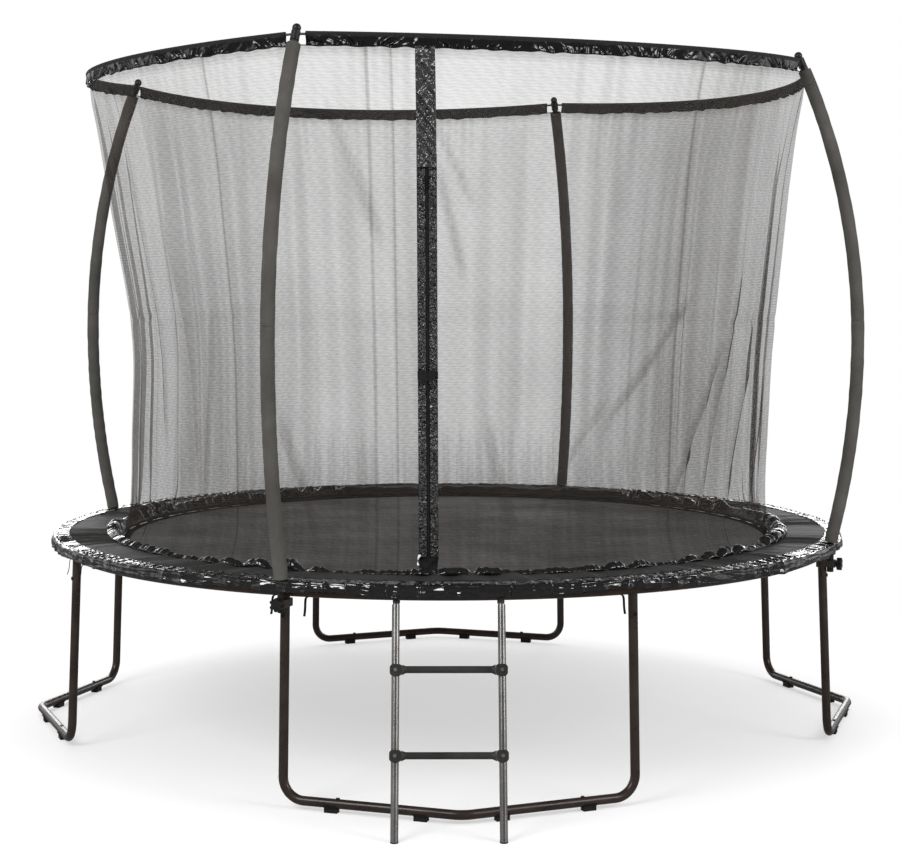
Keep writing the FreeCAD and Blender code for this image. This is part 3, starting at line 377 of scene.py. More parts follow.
def coated_fabric(name, tones, gloss, dull, crinkle=1.0, shine=0.6, facets=(11.0, 30.0)):
    """PE-coated woven fabric. The vertex number "dull" goes from the glossy coat, creased into
    flat facets like foil (facets gives how many to a metre across and along), through the worn
    fold to the uncoated, evenly grey back. The 1 mm weave is drawn at 3 mm to show."""
    made, put, give = material(name, Specular_IOR_Level=shine)
    coords = put("TexCoord")
    at_object = (coords, "Object")
    worn = (put("Attribute", attribute_name="dull"), "Fac")
    tone = ramp(put, worn, [(0.1, tones[0]), (0.5, tones[1]), (0.95, tones[2])])
    cloud = put("TexNoise", Scale=7.0, Detail=5.0, Vector=at_object)
    shade = put("MapRange", To_Min=0.72, To_Max=1.28, Value=cloud)
    colour = put("VectorMath", tone, operation="SCALE", Scale=shade)
    rough = put("MapRange", From_Max=0.4, To_Min=gloss, To_Max=dull, Value=worn)
    stretch = put("Mapping", Scale=(*facets, 1.0), Vector=(coords, "UV"))
    folds = put("TexNoise", Scale=0.8, Detail=2.0, Distortion=0.5, Vector=stretch)
    creases = put("TexVoronoi", feature="DISTANCE_TO_EDGE", Scale=1.0, Vector=stretch)
    weave = put("TexNoise", Scale=330.0, Detail=1.0, Vector=at_object)
    calm = put("MapRange", To_Min=0.9 * crinkle, To_Max=0.15, Value=worn)
    bump = put("Bump", Distance=0.012, Height=folds, Strength=calm)
    bump = put("Bump", Distance=0.009, Height=creases, Strength=calm, Normal=bump)
    bump = put("Bump", Strength=0.18, Distance=0.0008, Height=weave, Normal=bump)
    give(Base_Color=colour, Roughness=rough, Normal=bump)
    return made


band_fabric = coated_fabric("coated_band_fabric", ("080808", "0d0d0c", "201f1e"), 0.17, 0.85,
                            1.6, 0.55, (16.0, 17.0))
BAND_OUTLINE = np.array([
    (0.0062, 0.007), (0.0035, 0.0105), (-0.0035, 0.0105), (-0.0062, 0.007), (-0.0058, -0.002),
    (-0.0036, -0.010), (-0.0030, -0.022), (-0.0030, -0.030), (-0.0042, -0.033),
    (-0.0040, -0.0385), (0.0040, -0.0385), (0.0042, -0.033), (0.0030, -0.030), (0.0032, -0.022),
    (0.0040, -0.010), (0.0060, -0.002)])
section = rounded(BAND_OUTLINE, 34)
share = np.linspace(0, 1, BAND_PLACES)
out = polar(1, np.radians(-BAND_HALF_SPAN + 2 * BAND_HALF_SPAN * share), 0)
path = out * RING_RADIUS + np.array([0, 0, RING_HEIGHT])
# from 0 at the rod to 1 at the hem
hang = np.clip(-section[:, 1] / 0.03, 0, 1)
inside = np.clip(-section[:, 0] / 0.003, 0, 1)
dull = np.maximum(0.5 * np.clip((section[:, 1] + 0.007) / 0.006, 0, 1), inside)
for number, span_turn in enumerate(SPAN_TURNS, start=1):
    # folds grow from the rod down to the hem, and lean a little
    leaned = share[:, None] + 0.02 * hang[None] * ripples(number + 40, share, 2, 6)[:, None]
    ridged = 0.8 - 1.8 * np.abs(ripples(number + 80, leaned, 14, 45, 7)).clip(0, 1)
    fold = ((0.0030 * ripples(number + 50, leaned, 12, 40) + 0.0034 * ridged) * hang
            + 0.0016 * ripples(number + 60, leaned, 50, 120, 14) * (0.25 + hang))
    profile = np.broadcast_to(section, (BAND_PLACES,) + section.shape).copy()
    profile[..., 0] += fold
    profile[..., 1] += 0.0022 * ripples(number + 70, share, 6, 34)[:, None] * hang
    # out is level, so B of the carried profile points down; turn its sign to have +Z up
    profile[..., 1] *= -1
    grid = turned(tipped(carried(path, out, profile)), span_turn)
    band = surface(f"ring_band_{number}", capped(grid), band_fabric, around=True)
    mark(band, "dull", np.broadcast_to(dull, (BAND_PLACES + 2, len(dull))))
    merged(band)
    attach(band, "root")
    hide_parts("ring_sleeve")


# Jumping mat: a round sheet of woven black polypropylene, stretched flat by the springs. It is
# plain all over. A webbing hem is sewn round its edge, with 56 folded loops that hold V rings.
MAT_RADIUS, MAT_TOP, MAT_FOOT, MAT_ROWS = 1.290, 0.7345, 0.7315, 40
LADDER_TURN = -91.5
SPRING_COUNT = 56
SPRING_TURNS = LADDER_TURN + 360 / SPRING_COUNT * (np.arange(SPRING_COUNT) + 0.5)
# a wave texture of scale WAVE / spacing has one ridge to every spacing
WAVE = 0.314


def weave_material(name, tones, roughness, spacing, strength):
    """Plain weave of flat tapes: two crossed sets of ridges on Object coordinates, over a
    cloudy tone. The real tapes are 2 mm wide and are drawn as wide as they need to show."""
    made, put, give = material(name, Specular_IOR_Level=0.08, Roughness=roughness)
    at_object = (put("TexCoord"), "Object")
    waves = [put("TexWave", bands_direction=way, Scale=WAVE / spacing, Distortion=0.6, Detail=1.0,
                 Detail_Scale=0.6, Vector=at_object) for way in ("X", "Y")]
    cross = put("Math", (waves[0], "Fac"), (waves[1], "Fac"), operation="MAXIMUM")
    cloud = put("TexNoise", Scale=2.2, Detail=7.0, Roughness=0.62, Vector=at_object)
    blend = put("Math", cross, 0.22, cloud, operation="MULTIPLY_ADD")
    bump = put("Bump", Strength=strength, Distance=0.001, Height=cross)
    give(Base_Color=ramp(put, blend, [(0.45, tones[0]), (0.85, tones[1])]), Normal=bump)
    return made


mat_weave = weave_material("woven_polypropylene", ("393938", "5e5d5c"), 0.85, 0.006, 0.5)
# rows go out from the middle on top, over the edge and back below; the height is level but
# for a faint slackness of under a millimetre
radius = MAT_RADIUS * np.concatenate([np.linspace(0, 1, MAT_ROWS), np.linspace(1, 0, MAT_ROWS)])
spin = np.linspace(0, TURN, 256, endpoint=False)
height = np.repeat([MAT_TOP, MAT_FOOT], MAT_ROWS)[:, None]
slack = 0.0006 * np.sin(math.pi * radius / MAT_RADIUS)[:, None] * ripples(3, spin / 6.2832, 5, 19)
jump_mat = surface("jump_mat_weave", polar(radius[:, None], spin, height + slack), mat_weave,
                   around=True)
merged(jump_mat)
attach(jump_mat, "mat")
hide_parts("jump_mat")


def webbing(name, dark, light, rib=0.003):
    """Woven polypropylene webbing: fine ribs across the strap, on the piece's own UV. Its rough
    yarn has no gloss even where it is seen edge on."""
    made, put, give = material(name, Roughness=0.75, Specular_IOR_Level=0.0)
    coords = put("TexCoord")
    wave = put("TexWave", bands_direction="DIAGONAL", Scale=WAVE / rib, Distortion=0.4,
               Vector=(coords, "UV"))
    ribs = (wave, "Fac")
    fuzz = put("TexNoise", Scale=60.0, Detail=4.0, Vector=(coords, "Object"))
    blend = put("Math", ribs, 0.3, fuzz, operation="MULTIPLY_ADD")
    bump = put("Bump", Strength=0.4, Distance=0.0006, Height=ribs)
    give(Base_Color=ramp(put, blend, [(0.4, dark), (0.9, light)]), Normal=bump)
    return made


strap_black = webbing("black_webbing", "0e0e0e", "242424")


def ring_section(name, outline, made, lift):
    """An outline of (radius, height) revolved about the upright axis, once for every row of
    lift, which raises the outline's points."""
    spin = np.linspace(0, TURN, len(lift), endpoint=False)[:, None]
    return surface(name, polar(outline[:, 0], spin, outline[:, 1] + lift), made, around=True,
                   along=True, flip=True)


# the hem lies on the mat's edge, with a raised row of stitches near each of its sides
hem_line = np.array([(1.2620, 0.7347), (1.2900, 0.7347), (1.2900, 0.7366), (1.2868, 0.7370),
                     (1.2858, 0.7375), (1.2848, 0.7370), (1.2690, 0.7370), (1.2680, 0.7375),
                     (1.2670, 0.7370), (1.2620, 0.7366)])
share = np.linspace(0, 1, 840, endpoint=False)[:, None]
stitch = 0.0005 * (np.sin(TURN * 1260 / 3 * share) > 0) * (hem_line[:, 1] > 0.73745)
mat_hem = ring_section("mat_hem_webbing", hem_line, strap_black, stitch)
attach(mat_hem, "mat")
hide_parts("mat_hem")


def strips(name, outline, half_width, turns, made):
    """Copies of one closed outline of (radius, height), made half_width wide to each side and
    turned to every angle; the two side faces close it."""
    count = len(outline)
    flat = np.stack([outline[:, 0], 0 * outline[:, 0], outline[:, 1]], -1)
    one = np.stack([flat - [0, half_width, 0], flat + [0, half_width, 0]])
    points = np.concatenate([turned(one, turn).reshape(-1, 3) for turn in turns])
    near = np.arange(count)
    far = near + count
    walls = np.stack([near, np.roll(near, -1), np.roll(far, -1), far], -1)
    faces = []
    for first in range(0, len(points), 2 * count):
        faces += (walls + first).tolist()
        faces += [(near[::-1] + first).tolist(), (far + first).tolist()]
    piece = meshed(name, points.tolist(), faces, made)
    piece.data.uv_layers.new(name="UVMap")
    merged(piece)
    return piece


# each loop is a strap folded round the ring's bar and sewn to the mat's edge, above and below
around_bar = circle(np.radians(np.linspace(120, -120, 9)))
bar = np.array([1.2970, 0.7330])
loop_line = np.vstack([[1.2904, 0.7366], bar + 0.0041 * around_bar, [1.2904, 0.7296],
                       [1.2904, 0.7306], bar + 0.0030 * around_bar[::-1], [1.2904, 0.7356]])
mat_loops = strips("mat_loops", loop_line, 0.0085, SPRING_TURNS, strap_black)
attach(mat_loops, "mat")
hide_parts("mat_hem")


# Springs: 56 closed coils of 3 mm zinc-plated wire, 20 mm across, with a hook at each end that
# goes through a V ring on the mat's side and into the frame tube on the other.
spring_steel = coated_steel("zinc_spring_wire", "7f8286", "a3a5a7", 0.36, 600.0, 1.0)
WIRE_RADIUS, COIL_RADIUS, HOOK_RADIUS, COIL_LEVEL = 0.0014, 0.0084, 0.0042, 0.733
COILS, COIL_STEPS, WIRE_SIDES = 40, 8, 5
coil = np.linspace(0, 1, COILS * COIL_STEPS)
# the coils narrow to the hook's size at both ends
ease = np.clip(np.minimum(coil, 1 - coil) * 26, 0, 1)
swing = TURN * COILS * coil
across = HOOK_RADIUS + (COIL_RADIUS - HOOK_RADIUS) * ease
hook = np.radians(np.linspace(270, 90, 7))
wire = np.concatenate([
    np.stack([1.3215 + HOOK_RADIUS * np.cos(hook), 0 * hook, HOOK_RADIUS * np.sin(hook)], -1),
    np.array([[1.334, 0, HOOK_RADIUS]]),
    np.stack([1.3400 + 0.133 * coil, across * np.sin(swing), across * np.cos(swing)], -1),
    np.array([[1.480, 0, HOOK_RADIUS], [1.4885, 0, 0.0040]])])
wire[:, 2] += COIL_LEVEL
# the profile's outward direction: +Y at the hooks, +X along the coils
aside = np.repeat([[0.0, 1.0, 0.0], [1.0, 0.0, 0.0], [0.0, 1.0, 0.0]], [8, len(coil), 2], 0)
wire_line = carried(wire, aside, WIRE_RADIUS * circle(np.linspace(0, TURN, WIRE_SIDES,
                                                                  endpoint=False)))
wire_line = np.concatenate([np.repeat(wire[:1, None], WIRE_SIDES, 1), wire_line,
                            np.repeat(wire[-1:, None], WIRE_SIDES, 1)])
for number, spring_turn in enumerate(SPRING_TURNS, start=1):
    spring = surface(f"spring_{number:02d}", turned(wire_line, spring_turn), spring_steel,
                     around=True)
    merged(spring)
    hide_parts("springs")
    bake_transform(spring)


# Padded spring cover: a foam ring in a PE-coated cover that lies over the springs from the mat's
# edge to past the frame tube. Its top is dull and creased across, and a glossy gathered strip is
# sewn along each edge; the outer one hangs over the frame as a skirt, wavy at its foot.
pad_top_cloth = coated_fabric("dull_pad_cloth", ("191817", "201f1e", "272625"), 0.5, 0.66, 0.4,
                              0.25)
pad_cloth = coated_fabric("glossy_pad_cloth", ("080808", "141413", "1c1c1b"), 0.14, 0.5, 1.0, 1.0)
skirt_cloth = coated_fabric("glossy_skirt_cloth", ("080808", "141413", "1c1c1b"), 0.1, 0.5,
                            1.0, 1.0, (42.0, 9.0))
turn_share = np.linspace(0, 1, 1400, endpoint=False)[:, None]


def cross_creases(radius, seed):
    """Creases that run across the ring: ridged sines of the turn, leaning with the radius, in
    groups with calmer cloth between them."""
    lean = turn_share + 0.0060 * (radius[None] - 1.43) * ripples(seed, turn_share, 3, 11) * 4
    soft = ripples(seed + 1, lean, 26, 80, 12)
    sharp = 1 - 2.4 * np.abs(ripples(seed + 2, lean, 20, 60, 7)).clip(0, 1)
    busy = 0.55 + 0.45 * ripples(seed + 3, turn_share, 4, 17, 6).clip(-1, 1)
    return (soft + 0.9 * sharp) * busy


# one closed outline: up the inner edge, over the crowned top, down the outer edge, back below
pad_line = rounded(np.array([
    (1.3090, 0.7500), (1.3080, 0.7550), (1.3120, 0.7600), (1.3250, 0.7640), (1.3600, 0.7660),
    (1.4000, 0.7672), (1.4400, 0.7672), (1.4800, 0.7668), (1.5150, 0.7650), (1.5400, 0.7615),
    (1.5510, 0.7570), (1.5530, 0.7530), (1.5515, 0.7500), (1.4800, 0.7490), (1.4000, 0.7490)]),
    66)
# the creases lie on the top, and fade out towards both edges
over = np.clip((pad_line[:, 1] - 0.7575) / 0.006, 0, 1)
middle_part = np.clip((pad_line[:, 0] - 1.335) / 0.02, 0, 1) * np.clip(
    (1.515 - pad_line[:, 0]) / 0.02, 0, 1)
lift = 0.0046 * cross_creases(pad_line[:, 0], 300) * middle_part * over
pad = ring_section("spring_pad", pad_line, pad_top_cloth, lift)
merged(pad)
mark(pad, "dull", np.full(len(pad.data.vertices), 0.9))
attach(pad, "root")
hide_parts("pad_cover", "pad_foam")


def gathered_strip(name, line, rises, seed, coarse, fine, made=pad_cloth, columns=3000,
                   start=0.0, sweep=1.0, dips=0.0, counts=(45, 130), dull_below=0.0):
    """A gathered strip that follows a line of (radius, height) round the ring, thick enough to
    close: the line, then the same line offset back along its normal. The gathers push it out
    along the normal by ridged and plain seeded sines of the turn, which lean from row to row,
    scaled by rises along the line; dips raises and lowers it by rises squared. start and
    sweep are shares of a full turn. Below the height dull_below its uncoated back shows."""
    way = np.gradient(line, axis=0)
    normal = np.stack([way[:, 1], -way[:, 0]], -1) / np.linalg.norm(way, axis=1)[:, None]
    whole = sweep >= 1.0
    share = start + np.linspace(0, sweep, columns, endpoint=not whole)[:, None]
    row = np.linspace(0, 1, len(line))[None]
    lean = share + 0.0011 * row * ripples(seed + 3, share, 20, 70)
    ridged = 0.9 - 1.9 * np.abs(ripples(seed, lean, *counts, 9)).clip(0, 1.2)
    busy = 0.7 + 0.5 * ripples(seed + 4, share, 4, 23, 7).clip(-1, 1.4)
    push = (coarse * ridged * busy + fine * ripples(seed + 1, lean, 170, 420, 16)) * rises[None]
    front = line[None] + normal[None] * push[..., None]
    front[..., 1] += dips * ripples(seed + 2, share, 5, 31) * rises[None] ** 2
    depth = np.full((columns, 1, 1), 0.0009)
    if not whole:
        depth[[0, -1]] = 0
    both = np.concatenate([front, (front - normal[None] * depth)[:, ::-1]], 1)
    piece = surface(name, polar(both[..., 0], TURN * share, both[..., 1]), made, around=True,
                    along=whole)
    merged(piece)
    place = np.empty(len(piece.data.vertices) * 3)
    piece.data.vertices.foreach_get("co", place)
    mark(piece, "dull", np.clip((dull_below - place[2::3]) / 0.004, 0, 1))
    return piece


# the inner strip: sewn to the top 40 mm from the edge, it stands up in gathers over the pad's
# edge and comes down on the springs' rings, just outside the net's foot
inner_line = np.array([(1.3500, 0.7672), (1.3480, 0.7692), (1.3455, 0.7696), (1.3410, 0.7722),
                       (1.3350, 0.7756), (1.3280, 0.7780), (1.3205, 0.7776), (1.3140, 0.7738),
                       (1.3090, 0.7672), (1.3045, 0.7602), (1.2990, 0.7560), (1.2940, 0.7518),
                       (1.2922, 0.7470), (1.2926, 0.7373)])[::-1]
inner_rise = np.array([0.05, 0.1, 0.25, 0.4, 0.7, 0.9, 1.2, 1.3, 1.3, 1.3, 1.2, 1.0, 0.8, 0.3])
inner = gathered_strip("pad_inner_strip", inner_line, inner_rise, 330, 0.0095, 0.0011,
                       counts=(13, 46), dull_below=0.7560)
# the outer strip: a flat glossy border between two raised rows of gathered stitching
outer_line = np.array([(1.4930, 0.7672), (1.4950, 0.7692), (1.4975, 0.7695), (1.5000, 0.7678),
                       (1.5080, 0.7676), (1.5170, 0.7670), (1.5260, 0.7662), (1.5350, 0.7648),
                       (1.5390, 0.7655), (1.5415, 0.7672), (1.5440, 0.7664), (1.5465, 0.7640)])
outer_rise = np.array([0.2, 0.7, 0.8, 0.35, 0.6, 0.8, 0.9, 0.6, 0.5, 0.9, 0.9, 0.3])
outer = gathered_strip("pad_outer_strip", outer_line[::-1], outer_rise[::-1], 340, 0.0034, 0.0009)
for piece in (inner, outer):
    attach(piece, "root")
    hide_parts("pad_cover")

# the skirt hangs from the outer seam, stands off the frame in waves, and ends unevenly above the
# tube's middle; it is made in four lengths: one by the ladder, where the rails swing out, a short
# one on each side of that, and the long rest
skirt_line = np.array([(1.5460, 0.7650), (1.5515, 0.7640), (1.5555, 0.7612), (1.5575, 0.7570),
                       (1.5585, 0.7520), (1.5590, 0.7465), (1.5592, 0.7410), (1.5592, 0.7355),
                       (1.5588, 0.7305), (1.5582, 0.7262)])
skirt_rise = np.array([0.1, 0.25, 0.45, 0.6, 0.75, 0.9, 1.0, 1.0, 1.0, 0.95])
# in degrees from the ladder's middle: to the end of the length by the ladder, and on to the side
# length's
LIFTED, FADING = 7.5, 5.0
SKIRT_RADIUS, LIFT_TOP, LIFT_DROP = 1.556, 0.762, 0.046
lengths = {"pad_skirt_long": (LIFTED + FADING, 360 - 2 * (LIFTED + FADING), 3340),
           "pad_skirt_by_ladder": (-LIFTED, 2 * LIFTED, 150),
           "pad_skirt_left_of_ladder": (-LIFTED - FADING, FADING, 50),
           "pad_skirt_right_of_ladder": (LIFTED, FADING, 50)}
# the slope of a leaning blend over the side lengths, whole at the foot of the ladder's length,
# and nil along the top and at the outer end; it is worked out, but no length here is blended
near_end = SKIRT_RADIUS * math.sin(math.radians(LIFTED))
fall = np.array([1 / (SKIRT_RADIUS * math.sin(math.radians(LIFTED + FADING)) - near_end),
                 1 / LIFT_DROP])
fall = fall / (fall @ fall)
tangent = circle(math.radians(LADDER_TURN + 90))
for label, (first, wide, columns) in lengths.items():
    sweep = wide / 360
    skirt = gathered_strip(label, skirt_line[::-1], skirt_rise[::-1], 360, 0.0062, 0.0006,
                           skirt_cloth, columns, (LADDER_TURN + first) / 360, sweep, 0.0055,
                           (24, 75))
    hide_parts("pad_skirt")
    if sweep > 0.5:
        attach(skirt, "root")
    elif wide > FADING:
        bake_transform(skirt)
    else:
        side = 1 if first > 0 else -1
        far = tangent * side * (near_end - fall[0])
        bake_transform(skirt)


# Elastic ties: short black webbing tails that hold the cover down at the posts; their loose
# ends hang in a slight curve below the frame.
tail = np.array([(1.5000, 0.7052), (1.5120, 0.7040), (1.5172, 0.6960), (1.5186, 0.6850),
                 (1.5198, 0.6720), (1.5226, 0.6580), (1.5278, 0.6452)])
tail_back = tail + np.array([(0.0, -0.0006)] * 2 + [(-0.0011, -0.0003)] * 5)
tie_line = np.concatenate([tail, tail_back[::-1]])
tie_turns = [-114.1, -109.6, -69.0] + [turn + offset for turn in np.arange(-22.5, 225, 45)
                                       for offset in (-3.2, 3.6)]
ties = strips("cover_ties", tie_line, 0.0042, tie_turns, strap_black)
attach(ties, "root")
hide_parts("pad_ties")


# Safety net: one long piece of fine black knitted polyethylene mesh, hung from the band inside
# the poles, drawn in to the mat's edge and gathered there by an elastic cord. Upright folds,
# slack pulls beside the zip and a crease at mid height from the way it was packed.
ZIP_TURN, ZIP_GAP = -94.6, 1.38
NET_ROWS, NET_COLUMNS, NET_FOOT = 64, 1420, 0.741
climb = np.linspace(0, 1, NET_ROWS)[:, None]
net_turn = ZIP_TURN + ZIP_GAP + (360 - 2 * ZIP_GAP) * np.linspace(0, 1, NET_COLUMNS)[None]
net_share = net_turn / 360
# +1 at the right side, -1 at the left, and how near to either, where the net hangs loosest
rightward = np.cos(np.radians(net_turn))
at_side = np.abs(rightward) ** 2.5
# metres round from the zip, along a wall of the net's mean radius
arc = 1.28 * np.radians(net_turn - ZIP_TURN)
arc = np.where(arc > 1.28 * math.pi, arc - 1.28 * 2 * math.pi, arc)


def ring_height(turn):
    """Height of the sagging ring's rod at a turn: RING_HEIGHT less the tipped plane's fall."""
    from_middle = (turn + 67.5 + 45) % 90 - 45
    return RING_HEIGHT - (RING_RADIUS * np.cos(np.radians(from_middle)) - CHORD) * math.sin(TIP)


def zip_reach(height):
    """The zip's line: its radius at a height, out from the mat's edge to 0.80 m, straight up to
    2.12 m and then curving outwards."""
    head = np.polyval(np.polyfit([2.12, 2.31, 2.478], [1.322, 1.350, 1.392], 2), height)
    body = np.where(height < 2.12, 1.228 + 0.094 * (height - 0.8) / 1.32, head)
    return np.where(height < 0.8, 1.228 + 1.06 * (0.8 - height), body)


# rows are closer together at the foot, where the gathers are
rise = 0.35 * climb + 0.65 * climb ** 1.6
net_top = ring_height(net_turn) - 0.0345
net_height = NET_FOOT + (net_top - NET_FOOT) * rise
wall = np.interp(net_height, [NET_FOOT, 0.775, 0.86, 1.0, 1.45, 2.12, 2.31, 2.47, 2.52],
                 [1.2890, 1.2660, 1.2400, 1.2400, 1.2640, 1.3230, 1.3520, 1.3860, 1.3990])
for _ in range(3):
    wall[1:-1] = 0.25 * wall[:-2] + 0.5 * wall[1:-1] + 0.25 * wall[2:]
# slack draws the wall inwards at mid height, most on the left
slack = np.exp(-((net_height - 1.55) / 0.42) ** 2)
wall = wall - slack * (0.006 + 0.042 * np.clip(-rightward, 0, 1) ** 2)
# beside the zip the wall follows the zip's line, just behind its facings
near_zip = np.exp(-(arc / 0.11) ** 2) * np.clip((net_height - 0.745) / 0.05, 0, 1)
wall = wall + (zip_reach(net_height) - 0.0012 - wall) * near_zip


def pull(from_arc, from_height, to_arc, to_height, width, depth):
    """A crease: depth times a bell curve of the distance to a line between two places, each
    given in metres round from the zip and height, fading out past both ends."""
    run = np.array([to_arc - from_arc, to_height - from_height])
    length = np.linalg.norm(run)
    x, z = arc - from_arc, net_height - from_height
    along_run = (x * run[0] + z * run[1]) / length
    off_run = (x * run[1] - z * run[0]) / length
    ends = 1 / (1 + np.exp(-(along_run / 0.03))) / (1 + np.exp((along_run - length) / 0.03))
    return depth * np.exp(-((off_run / width) ** 2)) * ends


near_foot = np.clip((1.12 - net_height) / 0.34, 0, 1) ** 1.3
near_head = np.clip((net_height - 2.15) / 0.35, 0, 1)
held_foot = np.clip((net_height - NET_FOOT) / 0.05, 0.12, 1)
held_head = np.clip((net_top - net_height) / 0.06, 0, 1)
lean = net_share + 0.006 * (net_height - 1.4) * ripples(500, net_share, 3, 9)
broad = (0.0075 + 0.006 * at_side) * ripples(501, lean, 5, 17, 8)
loose = at_side * (1 - 0.6 * near_foot)
folds = (0.0040 + 0.0075 * loose) * ripples(502, lean, 26, 66, 12)
ridged = 1 - 2.0 * np.abs(ripples(506, lean, 24, 52, 8)).clip(0, 1)
creased = 0.0060 * ridged * loose * np.clip((2.35 - net_height) / 0.8, 0, 1)
gathers = 0.0080 * (1 - 1.6 * np.abs(ripples(503, lean, 34, 80, 10)).clip(0, 1.2)) * near_foot
head_folds = 0.0024 * ripples(504, net_share, 60, 140, 14) * near_head
pulls = sum(pull(*line) for line in (
    (0.05, 2.215, 0.13, 2.04, 0.006, 0.013), (0.04, 2.10, 0.11, 1.80, 0.009, 0.012),
    (0.98, 1.66, 0.66, 1.28, 0.012, 0.016), (0.62, 1.32, 0.40, 0.98, 0.009, 0.012),
    (1.22, 1.50, 0.95, 0.98, 0.012, 0.014), (1.30, 1.75, 1.13, 0.98, 0.009, 0.012),
    (1.48, 1.60, 1.31, 0.95, 0.010, 0.013), (1.64, 1.35, 1.53, 0.90, 0.009, 0.011),
    (1.04, 1.25, 1.00, 0.90, 0.010, 0.010), (-0.86, 1.60, -0.92, 0.95, 0.009, 0.009),
    (-1.05, 1.95, -0.98, 1.10, 0.008, 0.008), (-1.27, 2.20, -1.20, 1.20, 0.008, 0.009),
    (-0.30, 2.30, -0.16, 1.90, 0.014, 0.010), (-0.55, 1.25, -0.42, 0.92, 0.016, 0.012),
    (0.20, 1.25, 0.30, 0.90, 0.016, 0.011)))
crease_line = 1.605 + 0.012 * ripples(505, net_share, 3, 12)
packed = 0.006 * np.exp(-((net_height - crease_line) / 0.012) ** 2)
depth = ((broad + folds + creased) * (0.35 + 0.65 * (1 - near_head)) + gathers + head_folds
         + pulls - packed)
sewn = np.clip((np.abs(arc) - 0.030) / 0.05, 0, 1)
net_radius = wall + depth * held_foot * held_head * sewn


def net_mesh_material():
    """Knitted polyethylene mesh, 3 mm cells: thin dull black yarn with air between, so the
    sheet covers about a quarter of what is behind it. The rows of knots are drawn 10 mm apart
    to show as the fine wavy lines that the real mesh gives. The vertex number "dense" is where
    seams and tight folds lay the mesh double."""
    made, put, give = material("knitted_mesh", Base_Color=linear("322e2b"), Roughness=0.9,
                               Specular_IOR_Level=0.0)
    coords = put("TexCoord")
    at_uv = (coords, "UV")
    dense = put("Attribute", attribute_name="dense")
    courses = put("TexWave", bands_direction="Y", Scale=WAVE / 0.0105, Distortion=5.5, Detail=2.5,
                  Detail_Scale=1.3, Vector=at_uv)
    wales = put("TexWave", bands_direction="DIAGONAL", Scale=WAVE / 0.021, Distortion=5.0,
                Detail=2.0, Detail_Scale=1.0, Vector=at_uv)
    cloud = put("TexNoise", Scale=3.2, Detail=5.0, Roughness=0.6, Vector=(coords, "Object"))
    cover = put("Math", (courses, "Fac"), 0.10, 0.10, operation="MULTIPLY_ADD")
    cover = put("Math", (wales, "Fac"), 0.04, cover, operation="MULTIPLY_ADD")
    cover = put("Math", cloud, 0.14, cover, operation="MULTIPLY_ADD")
    cover = put("Math", (dense, "Fac"), 0.42, cover, operation="MULTIPLY_ADD", use_clamp=True)
    give(Alpha=cover)
    return made


net = surface("safety_net_mesh", polar(net_radius, np.radians(net_turn), net_height),
              net_mesh_material())
# mesh lies double in upright seams, in the deepest folds, and in the hems at foot and head
seams = sum(np.exp(-((arc - at) / 0.0045) ** 2) for at in (-0.75, -0.18, -0.105, 0.94, 2.1, -2.2))
tight = np.clip(np.abs(gathers + folds * near_foot) * 70 - 0.25, 0, 1) * near_foot
foot_hem = np.clip((0.765 - net_height) / 0.01, 0, 1)
hems = foot_hem + np.clip((net_height - net_top + 0.02) / 0.01, 0, 1)
across = np.gradient(depth * held_foot, axis=1) / (TURN * 1.27 / NET_COLUMNS)
low = np.clip((2.0 - net_height) / 1.2, 0, 1)
# more of its length has slid round to the right, and some to the left
flank = np.exp(-((np.abs(rightward) - 0.75) / 0.22) ** 2)
to_right = 0.5 + 0.5 * np.tanh(3 * rightward)
dense = (0.75 * seams + 0.5 * tight + 0.6 * hems + 30 * np.abs(pulls) + 20 * np.abs(packed)
         + 0.24 * near_foot + 0.23 * low
         + flank * (0.25 + 0.30 * to_right + 0.22 * low * (1 - to_right))
         + 0.95 * np.abs(across).clip(0, 0.3) - 0.05)
dense = dense * (1 - 0.8 * at_side * near_foot) * (1 - 0.35 * at_side ** 2)
mark(net, "dense", np.clip(dense, 0, 1.2))
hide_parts("safety_net")
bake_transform(net)


def cord_profile(radius):
    """A round cord's outline."""
    return radius * circle(np.linspace(0, TURN, 8, endpoint=False))


# black elastic cord with a braided cover, laced round the net's foot; it dips from loop to loop
share = np.linspace(0, 1, SPRING_COUNT * 12, endpoint=False)
spin = TURN * share + math.radians(LADDER_TURN)
dip = np.cos(SPRING_COUNT * 2 * math.pi * share)
path = polar(1.2965 + 0.0014 * dip, spin, 0.7446 - 0.0008 * dip)
lace = surface("net_lacing_cord", carried(path, polar(1, spin, 0), cord_profile(0.0025)),
               strap_black, around=True, along=True, flip=True)
merged(lace)
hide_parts("net_cord")
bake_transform(lace)


# Entrance zip: two facings of crinkled PE-coated cloth, puckered by their stitching, sewn to the
# net's two edges, with black zip tape and interlocking teeth between them. The slider and the
# buckle in front keep their CAD shapes.
# the facings' and the flap's cloth is near black; their mid-grey tones are painted sheen, standing
# in for the crinkled coat's many glints
zip_cloth = coated_fabric("zip_cloth_painted_sheen", ("323232", "3a3a3a", "404040"), 0.2, 0.5, 1.9, 1.0,
                          (75.0, 85.0))
flap_cloth = coated_fabric("flap_cloth_painted_sheen", ("2c2c2c", "3a3a3a", "404040"), 0.22, 0.5, 1.2,
                           1.0, (36.0, 40.0))
ZIP_FOOT, ZIP_HEAD = 0.800, 2.160


